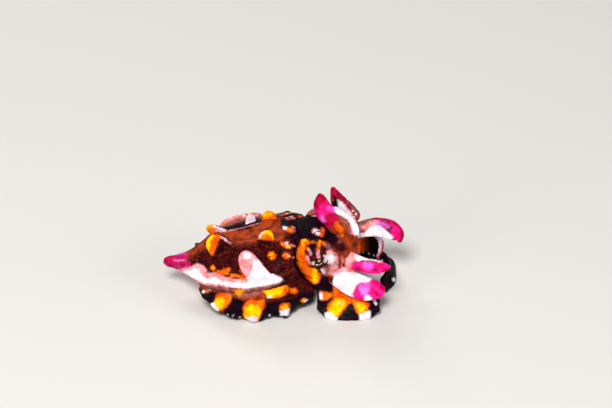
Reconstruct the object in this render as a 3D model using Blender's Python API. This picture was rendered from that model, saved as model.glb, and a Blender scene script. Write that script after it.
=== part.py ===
# Flamboyant cuttlefish, life size, standing on its belly flaps and its two lowest arms.
# The design is in millimetres and add_object turns it to metres.
# +X is the way the animal faces, +Y is its left and +Z is up; Z 0 is the ground.

import math

import bpy
import numpy as np

MM = 0.001
GAP = 0.3  # clearance that separate pieces keep from each other
CENTRING = (-0.16, 0.0, 0.0)  # moves the design so that its box is centred on the origin

# Mantle: each row is one station from the tail tip to the collar, as
# x, half width at the side ledge, ledge height, back height, belly height
MANTLE = np.array([
    (-29.5, 0.8, 8.5, 9.2, 7.6),
    (-27.2, 2.5, 8.5, 10.3, 6.8),
    (-23.8, 5.5, 8.7, 12.0, 5.3),
    (-19.6, 9.1, 9.4, 13.8, 3.6),
    (-15.0, 12.1, 10.3, 14.9, 1.9),
    (-10.4, 13.5, 10.8, 15.6, 1.2),
    (-5.8, 13.3, 11.2, 16.8, 1.1),
    (-1.2, 12.3, 12.0, 18.3, 1.6),
    (2.0, 11.0, 12.3, 19.2, 2.4),
    (4.4, 9.7, 12.6, 19.5, 3.2),
])
MANTLE_STATIONS = 23
MANTLE_SIDES = 30
MANTLE_SAMPLES = 300  # stations read between the rows where a width or height is looked up
SIDE_LEAN = 0.13  # the left side is carried higher than the right by this slope
LEDGE_SIZE = 1.0
RIDGE_SIZE = 0.75
RIDGE_SPACING = 2.7  # half the distance between the two ridges of the back
COLLAR_SET_BACK = 1.0  # how far the sides of the collar lie behind its back edge
COLLAR_CHIN = 3.8  # how far the collar's lower edge lies before its back edge

# Head: x, half width, half height, height of the middle
HEAD = np.array([
    (1.2, 2.0, 2.0, 12.9),
    (3.0, 5.0, 4.9, 13.1),
    (5.8, 6.9, 6.4, 13.4),
    (9.4, 7.4, 6.7, 13.5),
    (12.8, 7.0, 6.4, 13.2),
    (15.8, 6.3, 5.9, 12.8),
    (18.2, 4.0, 4.0, 12.5),
])
HEAD_LEAN = -0.07  # the head turns the other way and carries its right side higher
HEAD_STATIONS = 14
HEAD_SIDES = 24
EYE_CENTRE = (8.0, 6.45, 14.7)
EYE_RADIUS = 3.1
EYE_BULGE = 1.9
CHEEK_BULGE = 1.1
LID_RADIUS = 0.65

# Fins: x, drop of the root below the ledge, half width at the hem, height of the hem
FIN_TABLE = np.array([
    (-22.6, 0.2, 7.9, 8.4),
    (-19.6, 0.7, 10.6, 5.9),
    (-17.0, 1.1, 12.4, 2.9),
    (-13.6, 1.2, 13.7, 1.1),
    (-9.0, 1.2, 14.3, 0.45),
    (-4.4, 1.2, 14.0, 0.4),
    (0.0, 1.7, 12.8, 0.7),
    (3.4, 3.4, 11.0, 1.5),
    (7.4, 6.6, 8.6, 4.2),
])
FIN_ROOT_DEPTH = 1.1  # how deep in the flank the fin is drawn before the flank is cut from it
FIN_GAP = 0.45
FIN_THICKNESS = 0.6
FIN_LOBES = ((-18.6, 1.0), (-15.3, 1.9), (-11.3, 0.9), (-7.4, 2.4), (-3.6, 0.9), (0.1, 1.4), (5.0, 1.0))
LOBE_HEIGHT = 0.9

# Arms: rows from the root inside the head to the tip, as x, y, z and half width,
# and the way the outer face looks at the root and at the tip
ARMS = {
    "arm_1_right": {
        "path": [
            (14.0, -1.6, 15.0, 1.6),
            (16.4, -2.6, 18.6, 2.4),
            (13.9, -3.3, 22.2, 3.1),
            (11.1, -3.7, 26.2, 3.0),
            (9.3, -3.3, 31.0, 1.7),
        ],
        "outer": [(-0.5, -0.6, 0.6), (-0.5, -0.8, 0.2)],
    },
    "arm_1_left": {
        "path": [
            (14.0, 1.4, 15.4, 1.6),
            (17.2, 2.3, 18.6, 2.1),
            (16.0, 2.2, 21.6, 2.4),
            (14.0, 1.5, 25.4, 2.1),
            (12.3, 1.0, 29.8, 1.2),
        ],
        "outer": [(-0.5, 0.6, 0.6), (-0.5, 0.8, -0.2)],
    },
    "arm_2_right": {
        "path": [
            (12.5, -3.2, 13.6, 1.8),
            (16.6, -6.2, 13.1, 2.3),
            (20.2, -7.7, 12.3, 2.3),
            (23.6, -8.2, 12.0, 2.0),
            (26.7, -8.1, 11.9, 1.1),
        ],
        "outer": [(-0.3, -0.8, 0.6), (0.1, -0.85, 0.5)],
    },
    "arm_2_left": {
        "path": [
            (12.5, 3.2, 13.2, 1.9),
            (18.6, 4.1, 14.6, 2.4),
            (22.8, 4.0, 15.7, 2.8),
            (26.6, 3.6, 15.4, 2.8),
            (29.0, 3.1, 13.8, 2.3),
            (29.4, 2.8, 11.6, 1.4),
        ],
        "outer": [(-0.2, -0.1, 1.0), (0.75, -0.6, 0.3)],
    },
    "arm_3_right": {
        "path": [
            (11.5, -3.8, 9.6, 2.0),
            (15.3, -7.9, 8.1, 2.8),
            (18.8, -9.8, 7.2, 3.1),
            (22.0, -10.7, 7.0, 3.0),
            (25.3, -11.0, 7.0, 2.0),
        ],
        "outer": [(-0.3, -0.8, 0.5), (0.1, -0.6, 0.8)],
    },
    "arm_3_left": {
        "path": [
            (12.5, 4.0, 10.6, 1.9),
            (17.4, 7.4, 11.4, 2.2),
            (21.4, 8.3, 11.6, 2.2),
            (24.3, 7.6, 9.4, 2.1),
            (24.6, 6.7, 6.6, 1.9),
            (23.4, 6.0, 4.6, 1.1),
        ],
        "outer": [(-0.2, 0.8, 0.6), (0.95, 0.1, -0.3)],
    },
}
ARM_THICKNESS = 0.42  # half thickness as a share of half width, at the root
ARM_THINNEST = 0.32
INNER_FLATNESS = 0.62  # bulge of the inner face as a share of the outer face's
ARM_SIDES = 10
ARM_RINGS = 7
ARM_SPLIT = 0.56  # where an arm is parted into two lengths
SUCKER_PITCH = 1.7
SUCKER_RADIUS = 0.46
SUCKER_HEIGHT = 0.42
SUCKER_SIDES = 6
SUCKER_ROW = 0.4  # how far each row lies from the middle line, as a share of half width
SUCKER_MARGIN = 0.03  # share of an arm that stays free of suckers at each end of a length
FIRST_SUCKER = 0.3
LAST_SUCKER = 0.95

# Lowest arms: rows of x, y, z of the upper edge, which carries the suckers, and of
# the keel's hem, which reaches the ground, and the place and size of the keel's lobes
KEELED_ARMS = {
    "arm_4_right": {
        "edges": [
            (9.6, -4.2, 6.6, 9.0, -12.0, 2.0),
            (13.4, -5.8, 4.6, 11.8, -13.5, -0.1),
            (17.4, -7.6, 4.0, 16.0, -14.3, -0.2),
            (21.0, -9.2, 3.4, 20.4, -13.8, -0.1),
            (23.8, -10.4, 2.7, 23.9, -12.4, 1.4),
        ],
        "lobes": [(0.12, 0.8), (0.36, 1.7), (0.76, 1.3)],
    },
    "arm_4_left": {
        "edges": [
            (10.0, 5.2, 7.6, 10.6, 10.4, 1.8),
            (14.8, 8.4, 6.6, 15.0, 13.2, -0.1),
            (20.4, 10.0, 5.0, 22.0, 13.8, -0.2),
            (24.8, 8.2, 4.0, 27.2, 9.8, -0.1),
            (25.8, 3.0, 3.8, 28.2, 3.4, -0.1),
            (24.2, -1.8, 3.2, 25.7, -3.0, 0.4),
        ],
        "lobes": [(0.14, 0.8), (0.36, 1.6), (0.62, 1.5), (0.88, 1.1)],
    },
}
KEEL_SPLIT = 0.55
KEEL_ROOT_THICKNESS = 2.4
KEEL_HEM_THICKNESS = 0.6
KEEL_SUCKER_PITCH = 2.3
KEEL_SUCKER_START = 4.0  # how far along the upper edge the first pair stands

# Papillae: rows from the root in the body to the tip, as x, y, z and half width,
# and the way the outer face looks
BACK_PAPILLAE = {
    "rear_right": {
        "path": [(-14.4, -2.8, 13.0, 2.2), (-16.8, -2.8, 15.6, 2.1), (-19.0, -2.6, 17.5, 1.4)],
        "outer": [(0.1, -0.9, 0.4)],
    },
    "rear_left": {
        "path": [(-14.6, 2.7, 13.6, 2.0), (-17.0, 2.6, 16.0, 1.8), (-19.2, 2.5, 17.2, 1.2)],
        "outer": [(0.1, 0.9, 0.4)],
    },
    "front_right": {
        "path": [(-4.3, -4.6, 16.0, 2.2), (-4.3, -4.2, 18.6, 2.0), (-4.6, -4.0, 20.3, 1.6)],
        "outer": [(0.1, -0.9, 0.4)],
    },
    "front_left": {
        "path": [(-3.4, 4.6, 16.4, 2.1), (-3.5, 4.2, 18.8, 1.9), (-3.8, 4.0, 20.6, 1.5)],
        "outer": [(0.1, 0.9, 0.4)],
    },
    "side_right": {
        "path": [
            (-4.4, -11.6, 9.8, 2.8),
            (-6.2, -11.8, 12.2, 2.8),
            (-8.0, -10.8, 15.0, 2.7),
            (-9.6, -9.0, 17.2, 2.2),
        ],
        "outer": [(-0.3, -0.8, 0.5)],
    },
    "side_left": {
        "path": [
            (-6.4, 9.8, 12.0, 2.0),
            (-7.2, 9.2, 14.0, 1.9),
            (-8.0, 8.4, 15.8, 1.7),
            (-8.4, 7.6, 17.0, 1.3),
        ],
        "outer": [(-0.3, 0.8, 0.5)],
    },
}
BROW_PAPILLAE = {
    "brow_right": {
        "path": [(8.8, -4.0, 18.0, 1.6), (8.6, -4.5, 19.4, 1.2), (8.4, -4.9, 20.6, 0.8)],
        "outer": [(0.1, -0.9, 0.4)],
    },
    "brow_left": {
        "path": [(8.8, 4.0, 17.4, 1.6), (8.6, 4.5, 18.7, 1.2), (8.4, 4.9, 19.6, 0.8)],
        "outer": [(0.1, 0.9, 0.4)],
    },
}
# Small bumps of the back, on both sides: x, distance from the middle, size
BUMPS = [
    (0.5, 1.6, 0.75),
    (0.9, 5.8, 0.7),
    (1.2, 8.9, 0.65),
    (-3.0, 8.2, 0.7),
    (-11.0, 6.8, 0.6),
    (-21.5, 3.4, 0.6),
]

FLAP_CENTRE = (-9.6, 5.2, 1.3)
FLAP_SIZE = (6.4, 2.6, 1.8)
FUNNEL = [(3.6, 0.0, 5.6), (7.4, 0.0, 5.0), (11.2, 0.0, 4.6)]
FUNNEL_RADIUS = 2.2
MOUTH_CENTRE = (18.3, 0.0, 12.5)
MOUTH_RADIUS = 2.0

COLOURS = {
    "mantle": (0.17, 0.035, 0.02, 1.0),
    "head": (0.14, 0.03, 0.025, 1.0),
    "fin": (0.35, 0.14, 0.03, 1.0),
    "arm": (0.75, 0.05, 0.30, 1.0),
    "arm_root": (0.80, 0.62, 0.60, 1.0),
    "keel": (0.55, 0.22, 0.02, 1.0),
    "eye": (0.45, 0.16, 0.03, 1.0),
    "mouth": (0.55, 0.40, 0.34, 1.0),
}


def clear_scene():
    for obj in list(bpy.data.objects):
        bpy.data.objects.remove(obj)


def material(name):
    found = bpy.data.materials.get(name)
    if found:
        return found
    made = bpy.data.materials.new(name)
    made.use_nodes = True
    shader = made.node_tree.nodes["Principled BSDF"]
    shader.inputs["Base Color"].default_value = COLOURS[name]
    shader.inputs["Roughness"].default_value = 0.12 if name == "eye" else 0.38
    shader.inputs["Metallic"].default_value = 0.0
    return made


def smooth(table, where):
    """Catmull-Rom curve through the rows of table, read at where: 0 at the first row, 1 at the last."""
    rows = np.asarray(table, float)
    if rows.ndim == 1:
        rows = rows[:, None]
    last = len(rows) - 1
    place = np.clip(np.asarray(where, float), 0, 1) * last
    at = np.minimum(place.astype(int), last - 1)
    f = (place - at)[..., None]
    padded = np.vstack([2 * rows[0] - rows[1], rows, 2 * rows[-1] - rows[-2]])
    a, b, c, d = (padded[at + k] for k in range(4))
    return 0.5 * (2 * b + (c - a) * f + (2 * a - 5 * b + 4 * c - d) * f**2 + (3 * b - a - 3 * c + d) * f**3)


def unit(vectors):
    vectors = np.asarray(vectors, float)
    return vectors / np.maximum(np.linalg.norm(vectors, axis=-1, keepdims=True), 1e-9)


def bell(distance, width):
    return np.exp(-((distance / width) ** 2))


def ramp(value, low, high):
    f = np.clip((value - low) / (high - low), 0, 1)
    return f * f * (3 - 2 * f)


def add_object(name, points, faces, finish):
    mesh = bpy.data.meshes.new(name)
    placed = (np.asarray(points, float).reshape(-1, 3) + CENTRING) * MM
    mesh.from_pydata(placed.tolist(), [], [tuple(face) for face in faces])
    mesh.materials.append(material(finish))
    mesh.shade_smooth()
    mesh.set_sharp_from_angle(angle=math.radians(50))
    obj = bpy.data.objects.new(name, mesh)
    bpy.context.scene.collection.objects.link(obj)
    return obj


def tube_faces(rings, sides):
    """Triangles over rings of points, with a fan over each end whose middle point follows the rings."""
    faces = []
    for r in range(rings - 1):
        for s in range(sides):
            a, b = r * sides + s, r * sides + (s + 1) % sides
            c, d = b + sides, a + sides
            faces += [(a, b, c), (a, c, d)]
    first, last = rings * sides, rings * sides + 1
    for s in range(sides):
        faces.append((first, (s + 1) % sides, s))
        faces.append((last, (rings - 1) * sides + s, (rings - 1) * sides + (s + 1) % sides))
    return faces


def add_tube(name, rings, finish, start=None, end=None):
    """A closed solid through rings of points that turn anticlockwise as seen from its end."""
    count, sides = rings.shape[:2]
    start = rings[0].mean(axis=0) if start is None else start
    end = rings[-1].mean(axis=0) if end is None else end
    points = np.vstack([rings.reshape(-1, 3), start, end])
    return add_object(name, points, tube_faces(count, sides), finish)


def add_sheet(name, front, back, finish):
    """A closed solid between two grids of points that face each other."""
    rows, columns = front.shape[:2]
    half = rows * columns
    faces = []
    for r in range(rows - 1):
        for c in range(columns - 1):
            a, b = r * columns + c, r * columns + c + 1
            e, d = a + columns, b + columns
            faces += [(a, b, d), (a, d, e)]
            faces += [(a + half, d + half, b + half), (a + half, e + half, d + half)]
    edge = [(0, c) for c in range(columns)] + [(r, columns - 1) for r in range(1, rows)]
    edge += [(rows - 1, c) for c in range(columns - 2, -1, -1)] + [(r, 0) for r in range(rows - 2, 0, -1)]
    rim = [r * columns + c for r, c in edge]
    for a, b in zip(rim, rim[1:] + rim[:1]):
        faces += [(a, a + half, b + half), (a, b + half, b)]
    return add_object(name, np.vstack([front.reshape(-1, 3), back.reshape(-1, 3)]), faces, finish)


def take_result(obj):
    """Replaces the object's mesh by what its modifiers make, and removes them."""
    graph = bpy.context.evaluated_depsgraph_get()
    made = bpy.data.meshes.new_from_object(obj.evaluated_get(graph))
    obj.modifiers.clear()
    obj.data = made


def boolean(obj, others, operation, solver):
    """Joins other objects to obj, or cuts them from it, all by one modifier, and removes them."""
    group = bpy.data.collections.new(obj.name + "_" + operation.lower())
    bpy.context.scene.collection.children.link(group)
    for other in others:
        bpy.context.scene.collection.objects.unlink(other)
        group.objects.link(other)
    modifier = obj.modifiers.new(operation.title(), "BOOLEAN")
    modifier.operand_type = "COLLECTION"
    modifier.collection = group
    modifier.operation = operation
    modifier.solver = solver
    take_result(obj)
    for other in list(group.objects):
        bpy.data.objects.remove(other)
    bpy.data.collections.remove(group)


def fuse(obj, others, solver="EXACT"):
    boolean(obj, others, "UNION", solver)


def fuse_suckers(obj, others):
    """The exact solver leaves open edges where some of these cups meet the curve of the arm."""
    fuse(obj, others, "MANIFOLD")


def cut(obj, others):
    boolean(obj, others, "DIFFERENCE", "EXACT")


def keep_largest(obj):
    """Drops every loose piece of the mesh but the one with the largest box."""
    mesh = obj.data
    label = np.arange(len(mesh.vertices))
    ends = np.empty(len(mesh.edges) * 2, np.int64)
    mesh.edges.foreach_get("vertices", ends)
    ends = ends.reshape(-1, 2)
    while True:
        lowest = np.minimum(label[ends[:, 0]], label[ends[:, 1]])
        before = label.copy()
        np.minimum.at(label, ends[:, 0], lowest)
        np.minimum.at(label, ends[:, 1], lowest)
        label = label[label]
        if (label == before).all():
            break
    points = np.empty(len(mesh.vertices) * 3)
    mesh.vertices.foreach_get("co", points)
    points = points.reshape(-1, 3)
    pieces = np.unique(label)
    if len(pieces) == 1:
        return
    sizes = [np.prod(np.ptp(points[label == piece], axis=0) + 1e-6) for piece in pieces]
    kept = label == pieces[int(np.argmax(sizes))]
    number = np.cumsum(kept) - 1
    faces = [[number[v] for v in face.vertices] for face in mesh.polygons if kept[face.vertices[0]]]
    cleaned = bpy.data.meshes.new(mesh.name)
    cleaned.from_pydata(points[kept].tolist(), [], faces)
    for slot in mesh.materials:
        cleaned.materials.append(slot)
    cleaned.shade_smooth()
    cleaned.set_sharp_from_angle(angle=math.radians(50))
    obj.data = cleaned


def grid_normals(grid, outward):
    """Unit normals of a closed tube's points, all on the side that outward gives."""
    along = np.gradient(grid, axis=0)
    around = np.roll(grid, -1, axis=1) - np.roll(grid, 1, axis=1)
    normals = unit(np.cross(along, around))
    return normals * np.where((normals * outward).sum(axis=-1, keepdims=True) < 0, -1, 1)


def lean(points):
    """Carries the left side of the mantle higher than the right, and leaves the belly level."""
    leaned = points.copy()
    leaned[..., 2] += SIDE_LEAN * points[..., 1] * ramp(points[..., 2], 2.0, 8.0)
    return leaned


def mantle_rings(stations, sides, grow=0.0):
    """The mantle as rings from tail to collar: a dome over the side ledge, a flatter belly under it."""
    where = np.linspace(0, 1, stations)[:, None] ** 0.9
    angle = np.linspace(0, 2 * np.pi, sides, endpoint=False)[None, :]
    x, half_width, ledge, back, belly = np.moveaxis(smooth(MANTLE, where), -1, 0)
    rise, side = np.sin(angle), np.cos(angle)
    above = np.maximum(rise, 0)
    below = np.maximum(-rise, 0)
    ledge_size = LEDGE_SIZE * ramp(-x, -2.0, 4.0) * ramp(x, -31.0, -24.0)
    y = side * half_width * (1 - 0.16 * below) + np.sign(side) * ledge_size * bell(rise, 0.15)
    peak = 1.2 + 1.4 * ramp(-x, -1.0, 8.0)
    z = ledge + (back - ledge) * above**peak - (ledge - belly) * below**0.85
    ridge = RIDGE_SIZE * ramp(x, -24.0, -18.0) * ramp(-x, 0.0, 5.0)
    spacing = RIDGE_SPACING * (1 + 0.05 * (x + 10))
    z = z + np.where(rise > 0, ridge * bell(np.abs(y) - spacing, 1.1), 0)
    near_collar = ramp(x, -4.0, 5.6)
    x = x + near_collar * (COLLAR_CHIN * ramp(below, 0.12, 0.8) - COLLAR_SET_BACK * side**2)
    rings = lean(np.stack(np.broadcast_arrays(x, y, z), axis=-1))
    if grow:
        middle = rings.mean(axis=1, keepdims=True)
        rings = rings + grow * grid_normals(rings, rings - middle)
        rings = np.concatenate([rings, rings[-1:] + (2 * grow, 0, 0)])
    return rings


def back_point(x, y):
    """The point of the back over x and y, and the normal there."""
    rings = mantle_rings(90, 160)
    middle = rings.mean(axis=1, keepdims=True)
    normals = grid_normals(rings, rings - middle)
    upper = slice(1, 79)
    off = np.hypot(rings[:, upper, 0] - x, rings[:, upper, 1] - y)
    at = np.unravel_index(np.argmin(off), off.shape)
    return rings[:, upper][at], normals[:, upper][at]


def head_rings(grow=0.0):
    """The head as rings from the neck to the arm crown, swollen round each eye."""
    where = np.linspace(0, 1, HEAD_STATIONS)[:, None]
    angle = np.linspace(0, 2 * np.pi, HEAD_SIDES, endpoint=False)[None, :]
    x, half_width, half_height, middle = np.moveaxis(smooth(HEAD, where), -1, 0)
    towards_eye = math.atan2(EYE_CENTRE[2] - 13.5, EYE_CENTRE[1])
    off_eye = np.minimum(np.abs(angle - towards_eye), np.abs(angle - np.pi + towards_eye))
    swell = EYE_BULGE * bell(x - EYE_CENTRE[0], 3.4) * bell(off_eye, 0.62)
    off_cheek = np.minimum(np.abs(angle - 2 * np.pi + 0.75), np.abs(angle - np.pi - 0.75))
    swell = swell + CHEEK_BULGE * bell(x - EYE_CENTRE[0] - 0.5, 3.6) * bell(off_cheek, 0.5)
    boxy = np.where(np.sin(angle) < 0, 1 + 0.13 * np.sin(2 * angle) ** 2, 1.0)
    y = np.cos(angle) * (half_width * boxy + grow + swell)
    z = middle + np.sin(angle) * (half_height * boxy + grow + 0.5 * swell)
    x = x + np.zeros_like(angle) + grow * (where - 0.5) * 2
    return np.stack([x, y, z + HEAD_LEAN * y], axis=-1)


def head_clearance():
    """The head and a gap round it, to cut what grows from it."""
    return add_tube("head_clearance", head_rings(GAP), "head")


def eye_centre(side):
    """Middle of the eye on one side of the leaning head."""
    return np.array(EYE_CENTRE) * (1, side, 1) + (0, 0, HEAD_LEAN * side * EYE_CENTRE[1])


def add_ball(name, centre, radii, finish, rings=10, sides=16):
    """An ellipsoid with its poles on Y."""
    turn = np.linspace(0, np.pi, rings + 2)[1:-1][:, None]
    angle = np.linspace(0, 2 * np.pi, sides, endpoint=False)[None, :]
    x = np.sin(turn) * np.sin(angle)
    y = -np.cos(turn) * np.ones_like(angle)
    z = np.sin(turn) * np.cos(angle)
    points = np.stack([x, y, z], axis=-1) * radii + centre
    poles = [np.array(centre) + (0, sign * radii[1], 0) for sign in (-1, 1)]
    return add_tube(name, points, finish, *poles)


def blade_frame(arm, where):
    """Points of a curved blade's middle line, with its directions across and outward."""
    path = np.array(arm["path"])[:, :3]
    middle = smooth(path, where)
    step = 1e-3
    along = unit(smooth(path, where + step) - smooth(path, where - step))
    blend = np.asarray(where)[:, None]
    facing = unit(np.array(arm["outer"][0]) * (1 - blend) + np.array(arm["outer"][-1]) * blend)
    across = unit(np.cross(facing, along))
    return middle, across, np.cross(along, across)


def tip_rounding(where):
    """1 along a blade and a round fall to nothing at its tip."""
    return np.sqrt(np.clip(1 - where**7, 0, 1))


def blade_sizes(arm, where):
    half_width = smooth(arm["path"], where)[:, 3] * tip_rounding(where)
    half_thickness = half_width * (ARM_THICKNESS - 0.16 * where)
    return half_width, np.maximum(half_thickness, np.minimum(ARM_THINNEST, half_width))


def blade_rings(arm, where, sides):
    """Rings of an arm: rounded on the outer face, flatter on the face that carries the suckers."""
    middle, across, out = blade_frame(arm, where)
    half_width, half_thickness = blade_sizes(arm, where)
    angle = np.linspace(0, 2 * np.pi, sides, endpoint=False)
    lift = np.where(np.sin(angle) > 0, np.sin(angle), INNER_FLATNESS * np.sin(angle))
    offset = across[:, None] * (half_width[:, None] * np.cos(angle))[..., None]
    offset = offset + out[:, None] * (half_thickness[:, None] * lift)[..., None]
    return middle[:, None] + offset


def sucker(name, foot, across, along, inward, size):
    """A small cup whose foot sinks into the arm and whose mouth is hollowed."""
    angle = np.linspace(0, 2 * np.pi, SUCKER_SIDES, endpoint=False)
    circle = across * np.cos(angle)[:, None] + along * np.sin(angle)[:, None]
    radius, height = SUCKER_RADIUS * size, SUCKER_HEIGHT * size
    profile = ((0.65, -0.6), (1.0, 1.0))
    rings = [foot + circle * radius * share + inward * height * level for share, level in profile]
    return add_tube(name, np.array(rings), "arm_root", end=foot + inward * height * 0.55)


def path_length(rows):
    """Length so far at 200 even places along a path, and those places."""
    dense = np.linspace(0, 1, 200)
    steps = np.linalg.norm(np.diff(smooth(rows, dense)[:, :3], axis=0), axis=1)
    return np.concatenate([[0], np.cumsum(steps)]), dense


def within(places, low, high):
    return places[(places > low + SUCKER_MARGIN) & (places < high - SUCKER_MARGIN)]


def arm_suckers(name, arm, low, high):
    """Two rows of suckers along the inner face of an arm, smaller to the tip."""
    length, dense = path_length(arm["path"])
    places = np.interp(np.arange(SUCKER_PITCH, length[-1], SUCKER_PITCH), length, dense)
    made = []
    for number, place in enumerate(within(places, low, high)):
        where = np.array([place])
        foot, across, out = (v[0] for v in blade_frame(arm, where))
        half_width, half_thickness = (v[0] for v in blade_sizes(arm, where))
        size = 0.6 + 0.4 * min(1.0, half_width / 2.2) - 0.25 * place
        depth = half_thickness * INNER_FLATNESS * math.sqrt(1 - SUCKER_ROW**2)
        for row, side in enumerate((-1, 1)):
            spot = foot + across * side * SUCKER_ROW * half_width - out * depth
            label = f"{name}_sucker_{number}_{row}"
            made.append(sucker(label, spot, across, np.cross(-out, across), -out, size))
    return made


def add_arm(name, arm):
    """One arm in two lengths, cut clear of the head at its root."""
    half_gap = 0.65 * GAP / path_length(arm["path"])[0][-1]
    low, high = ARM_SPLIT - half_gap, ARM_SPLIT + half_gap
    base = add_tube(name + "_base", blade_rings(arm, np.linspace(0, low, ARM_RINGS), ARM_SIDES), "arm_root")
    where = high + (0.985 - high) * np.linspace(0, 1, ARM_RINGS) ** 0.8
    end = np.array(arm["path"][-1][:3])
    tip = add_tube(name + "_tip", blade_rings(arm, where, ARM_SIDES), "arm", end=end)
    fuse_suckers(base, arm_suckers(base.name, arm, FIRST_SUCKER, ARM_SPLIT))
    fuse_suckers(tip, arm_suckers(tip.name, arm, ARM_SPLIT, LAST_SUCKER))
    cut(base, [head_clearance()])
    for piece in (base, tip):
        keep_largest(piece)


def sheet_faces_of(middle, thickness):
    """The two faces of a curved sheet of varying thickness, on either side of its middle grid."""
    normal = unit(np.cross(np.gradient(middle, axis=1), np.gradient(middle, axis=0)))
    return middle + normal * thickness[..., None] / 2, middle - normal * thickness[..., None] / 2


def keel_grid(arm, low, high, rows, columns):
    """Middle surface and thickness of a keeled arm, from its upper edge down to its hem."""
    where = np.linspace(low, high, rows)[:, None]
    down = np.linspace(0, 1, columns)[None, :]
    edges = smooth(arm["edges"], where[:, 0])[:, None]
    fall = down[..., None]
    middle = edges[..., :3] * (1 - fall) + edges[..., 3:] * fall
    middle[..., 2] += 0.9 * np.sin(np.pi * down)
    lobes = sum(size * bell(where - place, 0.075) for place, size in arm["lobes"])
    thickness = KEEL_HEM_THICKNESS + (KEEL_ROOT_THICKNESS - KEEL_HEM_THICKNESS) * bell(down, 0.34)
    thickness = thickness + 0.75 * lobes * bell(down - 0.62, 0.27)
    return middle, thickness * (1 - 0.15 * ramp(where, 0.85, 1.0))


def keel_suckers(name, arm, side, low, high):
    """Two rows of suckers along the top of a keeled arm's inner face."""
    length, dense = path_length(arm["edges"])
    places = np.interp(np.arange(KEEL_SUCKER_START, length[-1], KEEL_SUCKER_PITCH), length, dense)
    made = []
    for number, place in enumerate(within(places, low, high)):
        middle, thickness = keel_grid(arm, place - 0.02, place + 0.02, 3, 21)
        face = sheet_faces_of(middle, thickness)[0 if side > 0 else 1]
        inward = side * unit(np.cross(np.gradient(middle, axis=1), np.gradient(middle, axis=0)))
        for row, column in enumerate((2, 5)):
            across = unit(middle[2, column] - middle[0, column])
            along = np.cross(inward[1, column], across)
            label, size = f"{name}_sucker_{number}_{row}", 0.95 - 0.35 * place
            made.append(sucker(label, face[1, column], across, along, inward[1, column], size))
    return made


def add_keeled_arm(name, arm, side):
    """A lowest arm in two lengths. Its hem stands on the ground on small flats."""
    upper, hem = path_length(arm["edges"])[0][-1], path_length(np.array(arm["edges"])[:, 3:])[0][-1]
    half_gap = 0.8 * GAP / min(upper, hem)
    for part, low, high in (("base", 0.0, KEEL_SPLIT - half_gap), ("tip", KEEL_SPLIT + half_gap, 1.0)):
        front, back = sheet_faces_of(*keel_grid(arm, low, high, 9, 8))
        for face in (front, back):
            face[..., 2] = np.maximum(face[..., 2], 0)
        piece = add_sheet(f"{name}_{part}", front, back, "keel")
        fuse_suckers(piece, keel_suckers(piece.name, arm, side, low, high))
        if part == "base":
            cut(piece, [head_clearance()])
        keep_largest(piece)


def flank(x, height):
    """Half width of the mantle at a height under its side ledge, before it leans."""
    stations = smooth(MANTLE, np.linspace(0, 1, MANTLE_SAMPLES))
    half_width, ledge, _, belly = (np.interp(x, stations[:, 0], stations[:, k]) for k in (1, 2, 3, 4))
    below = np.clip((ledge - height) / (ledge - belly), 0, 1) ** (1 / 0.85)
    return np.sqrt(1 - below**2) * half_width * (1 - 0.16 * below) + LEDGE_SIZE * bell(below, 0.15)


def fin_grid(side, rows, columns):
    """Middle surface and thickness of a fin: a curve from the flank over a shoulder to the hem at each x."""
    x, drop, hem_width, hem_height = smooth(FIN_TABLE, np.linspace(0, 1, rows)).T
    stations = smooth(MANTLE, np.linspace(0, 1, MANTLE_SAMPLES))
    root_height = np.interp(x, stations[:, 0], stations[:, 2]) - drop
    surface = flank(x, root_height)
    shoulder_height = root_height * 0.6 + hem_height * 0.4
    root = np.stack([x, surface - FIN_ROOT_DEPTH, root_height], axis=-1)[:, None]
    shoulder = np.stack([x, np.maximum(surface, hem_width) + 0.9, shoulder_height], axis=-1)[:, None]
    hem = np.stack([x, hem_width, hem_height], axis=-1)[:, None]
    down = np.linspace(0, 1, columns)[None, :]
    f = down[..., None]
    middle = root * (1 - f) ** 2 + shoulder * 2 * f * (1 - f) + hem * f**2
    middle[..., 1] += 0.4 * down**2 * np.sin(x * 0.95 + 1.0)[:, None]
    lobes = sum(bell(x - place, 0.55 + 0.45 * size) * min(1.0, size) for place, size in FIN_LOBES)[:, None]
    middle = lean(middle * (1, side, 1))
    return middle, FIN_THICKNESS + LOBE_HEIGHT * lobes * bell(down - 0.72, 0.24)


def add_fin(name, side):
    middle, thickness = fin_grid(side, 30, 7)
    front, back = sheet_faces_of(middle, thickness)
    for face in (front, back):
        face[..., 2] = np.maximum(face[..., 2], 0.12)
    fin = add_sheet(name, front, back, "fin")
    clearances = [
        add_tube("mantle_clearance", mantle_rings(MANTLE_STATIONS, MANTLE_SIDES, FIN_GAP), "mantle"),
        head_clearance(),
    ]
    cut(fin, clearances)
    keep_largest(fin)


def papilla(name, shape, finish):
    """A blunt flap of skin, a short blade with its root sunk in the body."""
    rings = blade_rings(shape, 0.97 * np.linspace(0, 1, 6), 8)
    return add_tube(name, rings, finish, end=np.array(shape["path"][-1][:3]))


def bump(name, x, y, size):
    foot, normal = back_point(x, y)
    return add_ball(name, foot + normal * 0.1 * size, (size, size, size * 0.8), "mantle", 3, 6)


def walking_flap(name, side):
    """A muscular pad under the belly, flat where it meets the ground."""
    centre = np.array(FLAP_CENTRE) * (1, side, 1)
    pad = add_ball(name, centre, FLAP_SIZE, "mantle", 6, 12)
    for vertex in pad.data.vertices:
        vertex.co.z = max(vertex.co.z, 0.0)
    return pad


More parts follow.
